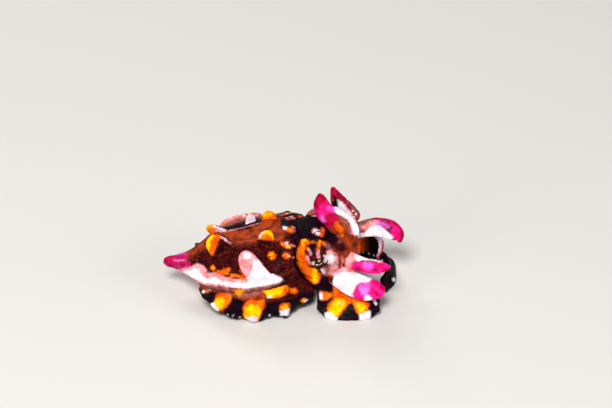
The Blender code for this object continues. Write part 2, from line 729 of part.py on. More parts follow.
def add_mantle():
    rings = mantle_rings(MANTLE_STATIONS, MANTLE_SIDES)
    middle = rings[-1].mean(axis=0)
    steps = ((0.03, 0.35), (0.1, 0.35), (0.16, 0.0), (0.2, -1.4))
    lip = [rings[-1] + (middle - rings[-1]) * share + (forward, 0, 0) for share, forward in steps]
    start, end = np.array((-30.0, 0, 8.5)), middle - (1.6, 0, 0)
    mantle = add_tube("mantle", np.concatenate([rings, lip]), "mantle", start, end)
    pieces = [papilla(key, shape, "mantle") for key, shape in BACK_PAPILLAE.items()]
    for side, word in ((-1, "right"), (1, "left")):
        pieces += [bump(f"bump_{n}_{word}", x, side * y, size) for n, (x, y, size) in enumerate(BUMPS)]
        pieces.append(walking_flap("flap_" + word, side))
    fuse(mantle, pieces)
    cut(mantle, [head_clearance(), funnel_solid("funnel_clearance", GAP)])
    keep_largest(mantle)


def eyelid(name, side):
    """A ring of skin round the eye."""
    centre = eye_centre(side)
    axis = unit(np.array((0.1, side, 0.12)))
    first = unit(np.cross(axis, (0, 0, 1)))
    second = np.cross(axis, first)
    turn = np.linspace(0, 2 * np.pi, 15, endpoint=False)
    spoke = first * np.cos(turn)[:, None] + second * np.sin(turn)[:, None]
    angle = np.linspace(0, 2 * np.pi, 5, endpoint=False)
    ring = centre + axis * 1.5 + spoke * (EYE_RADIUS - 0.35)
    rings = ring[:, None] + LID_RADIUS * (
        spoke[:, None] * np.cos(angle)[:, None] * 1.3 + axis * np.sin(angle)[:, None]
    )
    count, sides = rings.shape[:2]
    faces = []
    for r in range(count):
        for s in range(sides):
            a, b = r * sides + s, r * sides + (s + 1) % sides
            c, d = ((r + 1) % count) * sides + (s + 1) % sides, ((r + 1) % count) * sides + s
            faces += [(a, d, c), (a, c, b)]
    return add_object(name, rings, faces, "head")


def add_head():
    head = add_tube("head", head_rings(), "head")
    pieces = [papilla(key, shape, "head") for key, shape in BROW_PAPILLAE.items()]
    fuse(head, pieces + [eyelid("lid_right", -1), eyelid("lid_left", 1)])
    socket = (EYE_RADIUS + GAP,) * 3
    cut(head, [add_ball(f"socket_{side}", eye_centre(side), socket, "head", 8, 14) for side in (-1, 1)])
    keep_largest(head)


def funnel_solid(name, grow=0.0):
    """The funnel under the head, a short tapering tube that is hollow at its open end."""
    where = np.linspace(0, 1, 7)
    middle = smooth(FUNNEL, where)
    angle = np.linspace(0, 2 * np.pi, 14, endpoint=False)
    radius = FUNNEL_RADIUS * (1 - 0.35 * where) + grow
    middle[:, 0] += grow * (where - 0.5) * 2
    ring = np.stack([np.zeros_like(angle), np.cos(angle) * 1.25, np.sin(angle) * 0.8], axis=-1)
    rings = middle[:, None] + ring * radius[:, None, None]
    if grow:
        return add_tube(name, rings, "head")
    inner = [middle[6] + ring * radius[6] * 0.6, middle[5] + ring * radius[6] * 0.55]
    return add_tube(name, np.vstack([rings, inner]), "head")


def add_funnel():
    funnel = funnel_solid("funnel")
    cut(funnel, [head_clearance()])
    keep_largest(funnel)


def add_mouth():
    """The round lips in the middle of the arm crown, with the closed beak in their dimple."""
    where = ((-1.6, 1.0), (0.3, 1.0), (0.9, 0.8), (1.1, 0.55), (0.9, 0.36), (0.4, 0.28))
    angle = np.linspace(0, 2 * np.pi, 14, endpoint=False)
    ring = np.stack([np.zeros_like(angle), np.cos(angle), np.sin(angle)], axis=-1)
    centre = np.array(MOUTH_CENTRE)
    rings = np.array([centre + ring * MOUTH_RADIUS * radius + (level, 0, 0) for level, radius in where])
    mouth = add_tube("mouth", rings, "mouth", end=centre + (0.8, 0, 0))
    cut(mouth, [head_clearance()])
    keep_largest(mouth)


def main():
    clear_scene()
    add_mantle()
    add_head()
    for side, word in ((-1, "right"), (1, "left")):
        add_fin("fin_" + word, side)
        add_ball("eye_" + word, eye_centre(side), (EYE_RADIUS,) * 3, "eye", 8, 14)
    add_funnel()
    add_mouth()
    for name, arm in ARMS.items():
        add_arm(name, arm)
    for name, arm in KEELED_ARMS.items():
        add_keeled_arm(name, arm, -1 if name.endswith("right") else 1)


main()
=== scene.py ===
# Flamboyant cuttlefish, life size: the living looks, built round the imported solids.
# Shapes are worked out in millimetres in the solids' own design and stored in metres.
# +X is the way the animal faces, +Y its left and +Z up; the ground is Z 0.
import math

import bpy
import numpy as np
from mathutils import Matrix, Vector


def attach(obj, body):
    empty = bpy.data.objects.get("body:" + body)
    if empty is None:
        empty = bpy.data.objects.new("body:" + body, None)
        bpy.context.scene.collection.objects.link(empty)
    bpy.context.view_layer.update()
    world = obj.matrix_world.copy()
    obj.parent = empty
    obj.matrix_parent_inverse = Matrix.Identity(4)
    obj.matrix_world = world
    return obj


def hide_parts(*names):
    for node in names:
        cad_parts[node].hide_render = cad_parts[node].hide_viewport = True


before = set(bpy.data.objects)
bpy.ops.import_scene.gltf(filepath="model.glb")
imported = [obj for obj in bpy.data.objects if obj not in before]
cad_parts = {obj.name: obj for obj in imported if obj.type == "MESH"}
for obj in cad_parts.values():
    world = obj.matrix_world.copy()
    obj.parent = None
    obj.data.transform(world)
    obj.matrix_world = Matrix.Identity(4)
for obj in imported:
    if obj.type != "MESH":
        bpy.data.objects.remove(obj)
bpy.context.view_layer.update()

mm = 0.001
centring = np.array((-0.16, 0.0, 0.0))  # the solids' design is moved by this, in mm

# small tools


def unit(vectors):  # each divided by its length
    vectors = np.asarray(vectors, float)
    return vectors / np.maximum(np.linalg.norm(vectors, axis=-1, keepdims=True), 1e-9)


def bell(distance, width):  # 1 at distance 0, falling off as a Gaussian
    return np.exp(-((distance / width) ** 2))


def ramp(value, low, high):  # smooth step from 0 at low to 1 at high
    f = np.clip((value - low) / (high - low), 0, 1)
    return f * f * (3 - 2 * f)


def fullTurn(count):  # angles round a circle, the last one short of the first
    return np.linspace(0, 2 * np.pi, count, endpoint=False)


def along(rows, where):
    # Catmull-Rom curve through the rows: where 0 is the first row and 1 the last
    rows = np.asarray(rows, float)
    last = len(rows) - 1
    place = np.clip(np.asarray(where, float), 0, 1) * last
    at = np.minimum(place.astype(int), last - 1)
    f = (place - at)[..., None]
    padded = np.vstack([2 * rows[0] - rows[1], rows, 2 * rows[-1] - rows[-2]])
    a, b, c, d = (padded[at + k] for k in range(4))
    return 0.5 * (2 * b + (c - a) * f + (2 * a - 5 * b + 4 * c - d) * f**2 + (3 * b - a - 3 * c + d) * f**3)


def lumps(points, size, seed):
    # value noise: seeded random values at the corners of cubes of this size, blended smoothly between
    cell = np.asarray(points, float) / size
    base = np.floor(cell).astype(np.int64)
    f = cell - base
    f = f * f * (3 - 2 * f)
    total = np.zeros(len(cell))
    for corner in np.ndindex(2, 2, 2):
        key = base + corner
        mixed = key[:, 0] * 73856093 ^ key[:, 1] * 19349663 ^ key[:, 2] * 83492791 ^ seed * 2654435761
        mixed = (mixed ^ (mixed >> 13)) * 1274126177
        value = ((mixed ^ (mixed >> 16)) & 0xFFFF) / 65535.0
        share = np.prod(np.where(np.array(corner), f, 1 - f), axis=1)
        total += share * value
    return total * 2 - 1


def tubeFaces(rings, sides):
    # quads between neighbouring rings and a fan of triangles over each end
    r, s = np.meshgrid(np.arange(rings - 1), np.arange(sides), indexing="ij")
    a, b = r * sides + s, r * sides + (s + 1) % sides
    quads = np.stack([a, b, b + sides, a + sides], axis=-1).reshape(-1, 4)
    s = np.arange(sides)
    first = np.stack([np.full(sides, rings * sides), (s + 1) % sides, s], axis=-1)
    start = (rings - 1) * sides
    last = np.stack([np.full(sides, rings * sides + 1), start + s, start + (s + 1) % sides], axis=-1)
    return quads.tolist() + first.tolist() + last.tolist()


def withEnds(rings):  # closed rings, and the middle of the first and of the last
    return rings, rings[0].mean(axis=0), rings[-1].mean(axis=0)


def meshObject(name, points, faces):
    mesh = bpy.data.meshes.new(name)
    mesh.from_pydata(np.asarray(points, float).reshape(-1, 3).tolist(), [], faces)
    obj = bpy.data.objects.new(name, mesh)
    bpy.context.scene.collection.objects.link(obj)
    return obj


def readPoints(mesh):
    points = np.empty(len(mesh.vertices) * 3)
    mesh.vertices.foreach_get("co", points)
    return points.reshape(-1, 3)


def writePoints(mesh, points):
    mesh.vertices.foreach_set("co", np.ascontiguousarray(points, np.float32).ravel())
    mesh.update()


# the shapes, as in the solids but finer

mantleForm = {
    # x, half width at the side ledge, ledge height, back height, belly height
    "rows": np.array([
        (-29.8, 0.8, 8.4, 9.2, 7.6),
        (-28.8, 1.35, 8.3, 9.7, 6.9),
        (-26.6, 1.9, 8.1, 10.1, 6.3),
        (-23.4, 4.5, 7.9, 11.1, 4.8),
        (-19.6, 8.8, 8.7, 13.3, 3.3),
        (-15.0, 12.0, 10.4, 14.9, 1.8),
        (-10.4, 13.5, 11.2, 15.7, 1.2),
        (-5.8, 13.3, 11.7, 16.9, 1.1),
        (-1.4, 12.3, 12.2, 18.3, 1.6),
        (1.4, 11.0, 12.4, 19.1, 2.4),
        (3.4, 9.8, 12.6, 19.4, 3.2),
    ]),
    "sideLean": 0.1,  # the left side is carried higher than the right by this slope
    "bellyTaper": 0.16,  # share of the half width that is lost under the belly
    "bellyPower": 0.85,  # below 1 the belly is flatter than an ellipse
    "ledgeSize": 1.15,
    "ridgeSize": 0.85,
    "ridgeSpacing": 2.7,  # from the middle of the back to a ridge, where x is -10
    "collarSetBack": 1.4,
    "collarChin": 4.4,
    "collarReach": 1.9,  # how much further forward the collar's upper left edge comes
    "stations": 150,  # rings up to the collar
}


def lean(points, way=1):
    # slopes the mantle up towards the left, except near the belly and the tail; way -1 takes it off again
    leaned = points.copy()
    slope = mantleForm["sideLean"] * ramp(points[..., 2], 2.0, 8.0) * ramp(points[..., 0], -25.0, -17.0)
    leaned[..., 2] += way * slope * points[..., 1]
    return leaned


def ridgeSpacing(x):  # the two ridges of the back part a little towards the head
    return mantleForm["ridgeSpacing"] * (1 + 0.05 * (x + 10))


def mantleRings(stations, sides):
    # rings along X: above the ledge the height rises with a power of sine, below it the belly is flatter;
    # a bell at the ledge's angle makes the side ledge and two bells across the back make its ridges
    form = mantleForm
    where = np.linspace(0, 1, stations)[:, None] ** 0.9
    angle = fullTurn(sides)[None, :]
    x, halfWidth, ledge, back, belly = np.moveaxis(along(form["rows"], where), -1, 0)
    rise, side = np.sin(angle), np.cos(angle)
    above, below = np.maximum(rise, 0), np.maximum(-rise, 0)
    ledgeSize = form["ledgeSize"] * ramp(-x, -2.0, 4.0) * ramp(x, -27.5, -22.0)
    wavy = 1 + 0.16 * np.sin(x * 2.6 + 1.5 * np.sign(side)) + 0.1 * np.sin(x * 5.3)
    y = side * halfWidth * (1 - form["bellyTaper"] * below)
    y = y + np.sign(side) * ledgeSize * wavy * bell(rise, 0.12)
    peak = 1.2 + 1.4 * ramp(-x, -1.0, 8.0)
    z = ledge + (back - ledge) * above**peak - (ledge - belly) * below ** form["bellyPower"]
    ridge = form["ridgeSize"] * ramp(x, -24.0, -18.0) * ramp(-x, 0.0, 5.0)
    z = z + np.where(rise > 0, ridge * bell(np.abs(y) - ridgeSpacing(x), 1.0), 0)
    # folds run along the tail
    tail = 0.16 * ramp(-x, 22.0, 26.0) * np.cos(5 * angle) * np.clip(halfWidth / 2, 0, 1)
    y, z = y * (1 + 0.06 * tail), z + tail * rise
    nearCollar = ramp(x, -5.0, 4.2)
    x = x + nearCollar * (form["collarChin"] * ramp(-rise, -0.45, 0.9) - form["collarSetBack"] * side**2)
    x = x + nearCollar * form["collarReach"] * ramp(y, 0.0, 5.0) * ramp(rise, 0.2, 0.6)
    return lean(np.stack(np.broadcast_arrays(x, y, z), axis=-1))


def mantleTube():
    rings = mantleRings(mantleForm["stations"], 300)
    middle = rings[-1].mean(axis=0)
    # the collar's edge rolls in and goes back under itself: share towards the middle, step forward
    steps = ((0.02, 0.22), (0.05, 0.32), (0.085, 0.2), (0.11, -0.2), (0.13, -0.8), (0.16, -1.6))
    lip = [rings[-1] + (middle - rings[-1]) * share + (forward, 0, 0) for share, forward in steps]
    return np.concatenate([rings, lip]), np.array((-30.0, 0, 8.5)), middle - (1.8, 0, 0)


headForm = {
    # x, half width, half height, height of the middle
    "rows": np.array([
        (1.2, 2.0, 2.0, 12.9),
        (3.0, 5.8, 5.9, 13.1),
        (5.8, 7.1, 6.7, 13.4),
        (9.4, 7.4, 6.7, 13.5),
        (12.8, 7.0, 6.4, 13.2),
        (15.8, 6.3, 5.9, 12.8),
        (18.2, 4.0, 4.0, 12.5),
    ]),
    "lean": -0.07,
    "middle": 13.5,  # height from which the markings are measured
    "eyeCentre": np.array((8.0, 6.45, 14.45)),
    "eyeBulge": 2.3,
    "cheekBulge": 1.6,
}


def eyeCentre(side):  # the head leans, so the two eyes differ in height
    centre = headForm["eyeCentre"]
    return centre * (1, side, 1) + (0, 0, headForm["lean"] * side * centre[1])


def headTube():
    # rings along X: an ellipse, a little boxy below, swollen by a bell round each eye and each cheek
    form = headForm
    where = np.linspace(0, 1, 90)[:, None]
    angle = fullTurn(160)[None, :]
    x, halfWidth, halfHeight, middle = np.moveaxis(along(form["rows"], where), -1, 0)
    eye = form["eyeCentre"]
    towardsEye = math.atan2(eye[2] - 12.8, eye[1])
    offEye = np.minimum(np.abs(angle - towardsEye), np.abs(angle - np.pi + towardsEye))
    swell = form["eyeBulge"] * bell(x - eye[0], 3.8) * bell(offEye, 0.72)
    offCheek = np.minimum(np.abs(angle - 2 * np.pi + 0.7), np.abs(angle - np.pi - 0.7))
    swell = swell + form["cheekBulge"] * bell(x - eye[0] - 0.5, 3.6) * bell(offCheek, 0.5)
    boxy = np.where(np.sin(angle) < 0, 1 + 0.13 * np.sin(2 * angle) ** 2, 1.0)
    y = np.cos(angle) * (halfWidth * boxy + swell)
    z = middle + np.sin(angle) * (halfHeight * boxy + 0.5 * swell)
    rings = np.stack([x + np.zeros_like(angle), y, z + form["lean"] * y], axis=-1)
    return withEnds(rings)


finForm = {
    # x, drop of the root below the ledge, half width at the hem, height of the hem
    "rows": np.array([
        (-20.8, 0.4, 9.2, 6.6),
        (-19.2, 0.7, 10.9, 5.2),
        (-17.0, 1.1, 12.4, 2.9),
        (-13.6, 1.2, 13.7, 1.1),
        (-9.0, 1.2, 14.3, 0.45),
        (-4.4, 1.2, 14.0, 0.4),
        (0.0, 1.7, 12.8, 0.7),
        (3.4, 3.4, 11.0, 1.5),
        (7.4, 6.6, 8.6, 4.2),
    ]),
    "rootDepth": 1.1,
    "thickness": 0.6,
    # the fleshy lobes: x, size, x of the white tip, and how far down the fin the yellow starts
    "lobes": [
        (-19.4, 0.6, -19.8, 0.6),
        (-15.2, 1.9, -16.6, 0.3),
        (-7.2, 2.4, -7.6, 0.36),
        (0.0, 1.0, 0.4, 0.62),
        (5.2, 0.5, 5.7, 0.7),
    ],
    "lobeHeight": 0.95,
}


def flank(x, height):
    # half width of the mantle at a height under its side ledge, before it leans
    stations = along(mantleForm["rows"], np.linspace(0, 1, 300))
    halfWidth, ledge, _, belly = (np.interp(x, stations[:, 0], stations[:, k]) for k in (1, 2, 3, 4))
    below = np.clip((ledge - height) / (ledge - belly), 0, 1) ** (1 / mantleForm["bellyPower"])
    halfWidth = halfWidth * (1 - mantleForm["bellyTaper"] * below)
    return np.sqrt(1 - below**2) * halfWidth + bell(below, 0.15)


def sheetTurn(sides):  # angles round a sheet's section, and how far down the sheet each one is
    turn = fullTurn(sides) + np.pi / sides
    return turn, (1 - np.cos(turn)) / 2


def sheetSections(middle, thickness, sides):
    # closed sections of a sheet: down one face, round the hem and up the other, from its middle grid,
    # whose columns run from the root down; a superellipse rounds both edges
    rows, columns = middle.shape[:2]
    turn, down = sheetTurn(sides)
    normal = unit(np.cross(np.gradient(middle, axis=1), np.gradient(middle, axis=0)))
    place = down * (columns - 1)
    at = np.minimum(place.astype(int), columns - 2)
    f = (place - at)[None, :, None]
    spot = middle[:, at] * (1 - f) + middle[:, at + 1] * f
    out = unit(normal[:, at] * (1 - f) + normal[:, at + 1] * f)
    thick = thickness[:, at] * (1 - f[..., 0]) + thickness[:, at + 1] * f[..., 0]
    rounded = np.sign(np.sin(turn)) * np.sqrt(1 - np.abs(np.cos(turn)) ** 14)
    return spot + out * (thick * rounded / 2)[..., None]


def finMiddle(side, rows, columns):
    # a quadratic Bezier at each x, from the flank over a shoulder to the hem, waved more towards the hem
    x, drop, hemWidth, hemHeight = along(finForm["rows"], np.linspace(0, 1, rows)).T
    stations = along(mantleForm["rows"], np.linspace(0, 1, 300))
    rootHeight = np.interp(x, stations[:, 0], stations[:, 2]) - drop
    surface = flank(x, rootHeight)
    shoulderHeight = rootHeight * 0.6 + hemHeight * 0.4
    lobeTips = 0
    for _, size, tip, _ in finForm["lobes"]:
        lobeTips = lobeTips + bell(x - tip, 0.7 + 0.35 * size) * min(1.0, size)
    hemHeight = hemHeight + 0.5 * (0.4 - np.clip(lobeTips, 0, 1))
    root = np.stack([x, surface - finForm["rootDepth"], rootHeight], axis=-1)[:, None]
    shoulder = np.stack([x, np.maximum(surface, hemWidth) + 0.9, shoulderHeight], axis=-1)[:, None]
    hem = np.stack([x, hemWidth + 0.35 * lobeTips, hemHeight], axis=-1)[:, None]
    down = np.linspace(0, 1, columns)[None, :]
    f = down[..., None]
    middle = root * (1 - f) ** 2 + shoulder * 2 * f * (1 - f) + hem * f**2
    middle[..., 1] += 0.4 * down**2 * np.sin(x * 0.95 + 1.0)[:, None]
    middle[..., 1] += 0.16 * ramp(down, 0.55, 1.0) * np.sin(x * 3.1)[:, None]
    middle = lean(middle * (1, side, 1))
    lobes = 0
    for place, size, tip, start in finForm["lobes"]:
        centre = place + (tip - place) * ramp(down, start, 1.0)
        rise = min(1.0, size) * ramp(down, start - 0.15, start + 0.3)
        lobes = lobes + bell(x[:, None] - centre, 0.5 + 0.5 * size) * rise
    thickness = finForm["thickness"] * (1 - 0.35 * ramp(down, 0.7, 1.0))
    return middle, thickness + finForm["lobeHeight"] * lobes * (1 - 0.35 * down**4)


def finTube(side):
    # the sheet of the fin, kept just clear of the ground
    rings = sheetSections(*finMiddle(side, 190, 40), 96)
    rings[..., 2] = np.maximum(rings[..., 2], 0.1)
    return withEnds(rings)


armForms = {
    # rows of x, y, z and half width from the root in the head to the tip,
    # the way the outer face looks at the root and at the tip, and how far the edges curl inwards
    "arm_1_right": {
        "path": [
            (13.6, -2.0, 15.0, 2.9),
            (16.3, -2.8, 19.0, 3.0),
            (12.7, -3.3, 23.0, 3.4),
            (9.9, -3.7, 26.6, 3.2),
            (9.2, -3.3, 31.0, 1.8),
        ],
        "outer": [(-0.5, -0.6, 0.6), (-0.5, -0.8, 0.2)],
        "curl": 0.14,
        "suckersEnd": 0.6,
    },
    "arm_1_left": {
        "path": [
            (13.8, 1.8, 15.4, 2.6),
            (17.0, 2.3, 18.6, 2.6),
            (15.7, 2.2, 21.6, 2.4),
            (13.3, 1.5, 25.4, 2.2),
            (12.0, 1.0, 29.9, 1.3),
        ],
        "outer": [(-0.5, 0.6, 0.6), (-0.5, 0.8, -0.2)],
        "curl": 0.3,
        "suckersEnd": 0.5,
    },
    "arm_2_right": {
        "path": [
            (12.5, -3.4, 13.6, 2.8),
            (16.6, -6.2, 12.8, 2.1),
            (20.2, -7.7, 12.2, 1.9),
            (23.6, -8.2, 12.0, 1.8),
            (26.7, -8.1, 11.9, 1.1),
        ],
        "outer": [(-0.3, -0.8, 0.6), (0.1, -0.85, 0.5)],
        "curl": 0.16,
    },
    "arm_2_left": {
        "path": [
            (12.5, 3.2, 13.2, 2.8),
            (18.6, 4.1, 14.6, 2.6),
            (22.8, 4.0, 15.7, 2.8),
            (26.6, 3.6, 15.4, 2.8),
            (29.0, 3.1, 13.8, 2.3),
            (29.4, 2.8, 11.6, 1.4),
        ],
        "outer": [(-0.2, -0.1, 1.0), (0.75, -0.6, 0.3)],
        "curl": 0.16,
    },
    "arm_3_right": {
        "path": [
            (11.5, -4.2, 9.8, 3.2),
            (15.3, -7.9, 8.2, 3.1),
            (18.8, -9.8, 7.2, 3.1),
            (22.0, -10.7, 7.0, 3.0),
            (25.3, -11.0, 7.0, 2.5),
        ],
        "outer": [(-0.3, -0.8, 0.5), (0.1, -0.6, 0.8)],
        "curl": 0.12,
    },
    "arm_3_left": {
        "path": [
            (12.5, 4.0, 10.6, 1.9),
            (17.4, 7.4, 11.4, 2.2),
            (21.4, 8.3, 11.6, 2.2),
            (24.3, 7.6, 9.4, 2.1),
            (24.6, 6.7, 6.6, 1.9),
            (23.4, 6.0, 4.6, 1.1),
        ],
        "outer": [(-0.2, 0.8, 0.6), (0.8, -0.45, -0.1)],
        "curl": 0.18,
    },
}


bladeForm = {
    "end": 0.985,  # the last ring stands this far along
    "crowding": 0.92,  # below 1 the rings stand closer to each other at the tip
    "innerShare": 0.62,  # thickness of the inner face as a share of the outer one's
    "curl": (0.25, 0.6),  # where along an arm its edges start to curl and are fully curled
}


def bladePlaces(rows):  # places along an arm for its rings
    return bladeForm["end"] * np.linspace(0, 1, rows) ** bladeForm["crowding"]


def bladeFrame(form, where):
    # middle line, the way across and the way out; the way out turns from the first to the last given
    path = np.array(form["path"])[:, :3]
    middle = along(path, where)
    ahead = unit(along(path, where + 1e-3) - along(path, where - 1e-3))
    blend = np.asarray(where)[:, None]
    facing = unit(np.array(form["outer"][0]) * (1 - blend) + np.array(form["outer"][-1]) * blend)
    across = unit(np.cross(facing, ahead))
    return middle, across, np.cross(ahead, across)


def bladeSizes(form, where):
    # half width from the rows, rounded off at the tip, and a half thickness that falls along the arm
    halfWidth = along(form["path"], where)[:, 3] * np.sqrt(np.clip(1 - where**7, 0, 1))
    halfThick = halfWidth * (0.42 - 0.16 * where)
    return halfWidth, np.maximum(halfThick, np.minimum(0.32, halfWidth))


def bladeTube(form, rows=80, sides=48, deepen=1.0):
    # rings of a flattened arm: an ellipse, flatter on the inner face, whose edges curl to the inner side
    # with the fourth power of the distance from the middle line
    where = bladePlaces(rows)
    middle, across, out = bladeFrame(form, where)
    halfWidth, halfThick = bladeSizes(form, where)
    angle = fullTurn(sides)
    lift = np.where(np.sin(angle) > 0, 1.0, bladeForm["innerShare"]) * np.sin(angle)
    curl = form.get("curl", 0.0) * ramp(where, *bladeForm["curl"])
    offset = across[:, None] * (halfWidth[:, None] * np.cos(angle))[..., None]
    inward = halfThick[:, None] * deepen * lift - (curl * halfWidth)[:, None] * np.cos(angle) ** 4
    rings = middle[:, None] + offset + out[:, None] * inward[..., None]
    tip = rings[-1].mean(axis=0) + unit(rings[-1].mean(axis=0) - rings[-2].mean(axis=0)) * 0.05
    return rings, rings[0].mean(axis=0), tip


keelForms = {
    # rows of x, y, z of the upper edge and of the hem, and the fleshy lobes: place along the keel of the
    # lobe's top and of its tip, size, and how far down the keel it starts
    "arm_4_right": {
        "edges": [
            (8.8, -4.2, 6.6, 8.2, -11.8, 1.6),
            (13.0, -5.8, 4.8, 11.4, -13.5, -0.1),
            (17.4, -7.6, 4.0, 16.0, -14.3, -0.2),
            (21.0, -9.2, 3.4, 20.4, -13.8, -0.1),
            (23.8, -10.4, 2.7, 23.9, -12.4, 1.4),
        ],
        "lobes": [(0.36, 0.26, 2.1, 0.3), (0.74, 0.8, 1.5, 0.42)],
    },
    "arm_4_left": {
        "edges": [
            (10.0, 5.2, 7.6, 10.6, 10.4, 1.8),
            (14.8, 8.4, 6.6, 15.0, 13.2, -0.1),
            (20.4, 10.0, 5.0, 22.0, 13.8, -0.2),
            (24.8, 8.2, 4.0, 27.2, 9.8, -0.1),
            (25.8, 3.0, 3.8, 28.2, 3.4, -0.1),
            (24.2, -1.8, 3.2, 25.7, -3.0, 0.4),
        ],
        "lobes": [
            (0.14, 0.14, 0.8, 0.6),
            (0.38, 0.36, 1.6, 0.5),
            (0.64, 0.62, 1.4, 0.55),
            (0.88, 0.88, 1.0, 0.6),
        ],
    },
}


def keelTube(form):
    # a ruled sheet from the upper edge to the hem, bowed up in the middle, thick at the top, with lobes
    where = np.linspace(0, 1, 130)[:, None]
    down = np.linspace(0, 1, 36)[None, :]
    edges = along(form["edges"], where[:, 0])[:, None]
    fall = down[..., None]
    middle = edges[..., :3] * (1 - fall) + edges[..., 3:] * fall
    middle[..., 2] += 0.9 * np.sin(np.pi * down)
    lobes = 0
    for top, tip, size, start in form["lobes"]:
        off = where - top - (tip - top) * ramp(down, start, 1.0)
        lobes = lobes + size * bell(off, 0.07 + 0.012 * size) * ramp(down, start - 0.15, start + 0.25)
    thickness = 0.6 + 1.8 * bell(down, 0.34)
    thickness = (thickness + 1.25 * lobes * (1 - 0.5 * down**5)) * (1 - 0.15 * ramp(where, 0.85, 1.0))
    middle[..., 2] += 0.5 * ramp(down, 0.7, 1.0) * (0.5 - np.clip(lobes, 0, 1))
    rings = sheetSections(middle, thickness, 84)
    rings[..., 2] = np.maximum(rings[..., 2], 0)
    return withEnds(rings)


papillaForms = {
    # as the arms, but short flaps rooted in the back; kind says how each is marked
    "rear_right": {
        "path": [(-13.8, -3.0, 12.6, 3.2), (-16.4, -3.0, 15.5, 2.9), (-18.2, -2.8, 17.7, 2.0)],
        "outer": [(0.1, -0.9, 0.4)],
        "kind": "rear",
    },
    "rear_left": {
        "path": [(-14.4, 2.9, 13.0, 2.8), (-16.9, 2.8, 15.6, 2.3), (-18.9, 2.6, 17.3, 1.5)],
        "outer": [(0.1, 0.9, 0.4)],
        "kind": "rear",
    },
    "front_right": {
        "path": [(-4.3, -4.6, 16.0, 2.2), (-4.3, -4.2, 18.6, 2.0), (-4.6, -4.0, 20.3, 1.6)],
        "outer": [(0.1, -0.9, 0.4)],
        "kind": "front",
    },
    "front_left": {
        "path": [(-3.4, 4.6, 16.4, 2.1), (-3.5, 4.2, 18.8, 1.9), (-3.8, 4.0, 20.6, 1.5)],
        "outer": [(0.1, 0.9, 0.4)],
        "kind": "front",
    },
    "side_right": {
        "path": [
            (-4.4, -11.1, 9.6, 2.8),
            (-6.2, -11.8, 12.2, 2.8),
            (-8.4, -10.8, 15.1, 2.7),
            (-10.0, -8.9, 17.6, 2.3),
        ],
        "outer": [(-0.3, -0.8, 0.5)],
        "kind": "side",
    },
    "side_left": {
        "path": [
            (-7.8, 5.8, 12.6, 1.5),
            (-8.0, 6.0, 14.6, 1.5),
            (-8.1, 6.5, 16.4, 1.45),
            (-8.2, 7.0, 17.7, 1.2),
        ],
        "outer": [(-0.3, 0.8, 0.5)],
        "kind": "side",
    },
}
browForms = {
    "brow_right": {
        "path": [(8.8, -4.0, 18.0, 1.6), (8.6, -4.5, 19.4, 1.2), (8.4, -4.9, 20.6, 0.8)],
        "outer": [(0.1, -0.9, 0.4)],
        "kind": "brow",
    },
    "brow_left": {
        "path": [(7.6, 4.0, 16.4, 2.6), (7.8, 4.4, 18.8, 2.1), (8.2, 4.8, 20.8, 1.2)],
        "outer": [(0.1, 0.9, 0.4)],
        "kind": "brow",
    },
}
# low bumps of the back: x, y, size, and length as a share of width; all but the first stand in pairs
bumpPairs = [
    (1.0, 4.9, 0.6, 1.7),
    (1.2, 8.3, 0.55, 1.5),
    (-2.9, 8.2, 0.55, 1.3),
    (-11.0, 6.8, 0.5, 1.5),
    (-21.3, 3.2, 0.5, 1.5),
]
bumpForms = [(0.5, -0.9, 0.62, 1.8)]
bumpForms += [(x, side * y, *sizes) for x, y, *sizes in bumpPairs for side in (-1, 1)]


def ballTube(centre, radii, rows=24, sides=32):
    # an ellipsoid with its poles on Y
    turn = np.linspace(0, np.pi, rows + 2)[1:-1][:, None]
    angle = fullTurn(sides)[None, :]
    across, pole, up = np.sin(turn) * np.sin(angle), -np.cos(turn), np.sin(turn) * np.cos(angle)
    ball = np.stack(np.broadcast_arrays(across, pole, up), axis=-1)
    centre, radii = np.array(centre, float), np.array(radii, float)
    return ball * radii + centre, centre - (0, radii[1], 0), centre + (0, radii[1], 0)


def backPoint(x, y):  # the point of the back that is nearest to this place as seen from above
    rings = mantleRings(90, 160)[:, 1:79]
    off = np.hypot(rings[..., 0] - x, rings[..., 1] - y)
    return rings.reshape(-1, 3)[off.argmin()]


eyeForm = {
    "radius": 3.0,
    "opening": (1.65, 1.35),  # half width and half height of the slit between the lids, in mm
    "forward": 0.18,  # the way the opening looks, to the front of straight out sideways
    "drop": -0.32,
    "lidThickness": 0.42,
    "socketInset": 0.45,  # how far the head's flesh stays under the ball, in mm
    "socketEdge": (0.85, 1.2),  # where it comes up to the lid, in radians off the axis
}


def eyeAxes(side):
    # outward axis of the eye's opening, the way towards the head's front, and up
    out = unit(np.array((eyeForm["forward"], side, eyeForm["drop"])))
    front = unit(np.array((1.0, 0, 0)) - out[0] * out)
    up = np.cross(out, front) * -side
    return out, front, up


def lidTube(side):
    # a shell over the eyeball round an almond opening: each section runs out over the shell and back
    # under it, and rows go round the opening
    out, front, up = eyeAxes(side)
    centre = eyeCentre(side)
    radius, thick = eyeForm["radius"], eyeForm["lidThickness"]
    wide, high = eyeForm["opening"]
    turn = fullTurn(140)[:, None]
    a, b = np.cos(turn), np.sin(turn)
    almond = 1 / np.sqrt((a / wide) ** 2 + (b / (high * np.where(b > 0, 0.8, 1.15))) ** 2)
    section = fullTurn(40)[None, :]
    reach = (1 - np.cos(section)) / 2
    polar = np.arcsin(np.clip(almond / radius, 0, 1)) * (1 - reach) + 1.25 * reach
    rim = 1 + 0.35 * bell(reach, 0.12)
    rounded = np.sign(np.sin(section)) * np.sqrt(1 - np.abs(np.cos(section)) ** 8)
    level = radius + thick * 0.5 + thick * 0.5 * rounded * rim
    sideways = a[..., None] * front + b[..., None] * up
    ring = np.sin(polar)[..., None] * sideways + np.cos(polar)[..., None] * out
    return centre + ring * level[..., None]


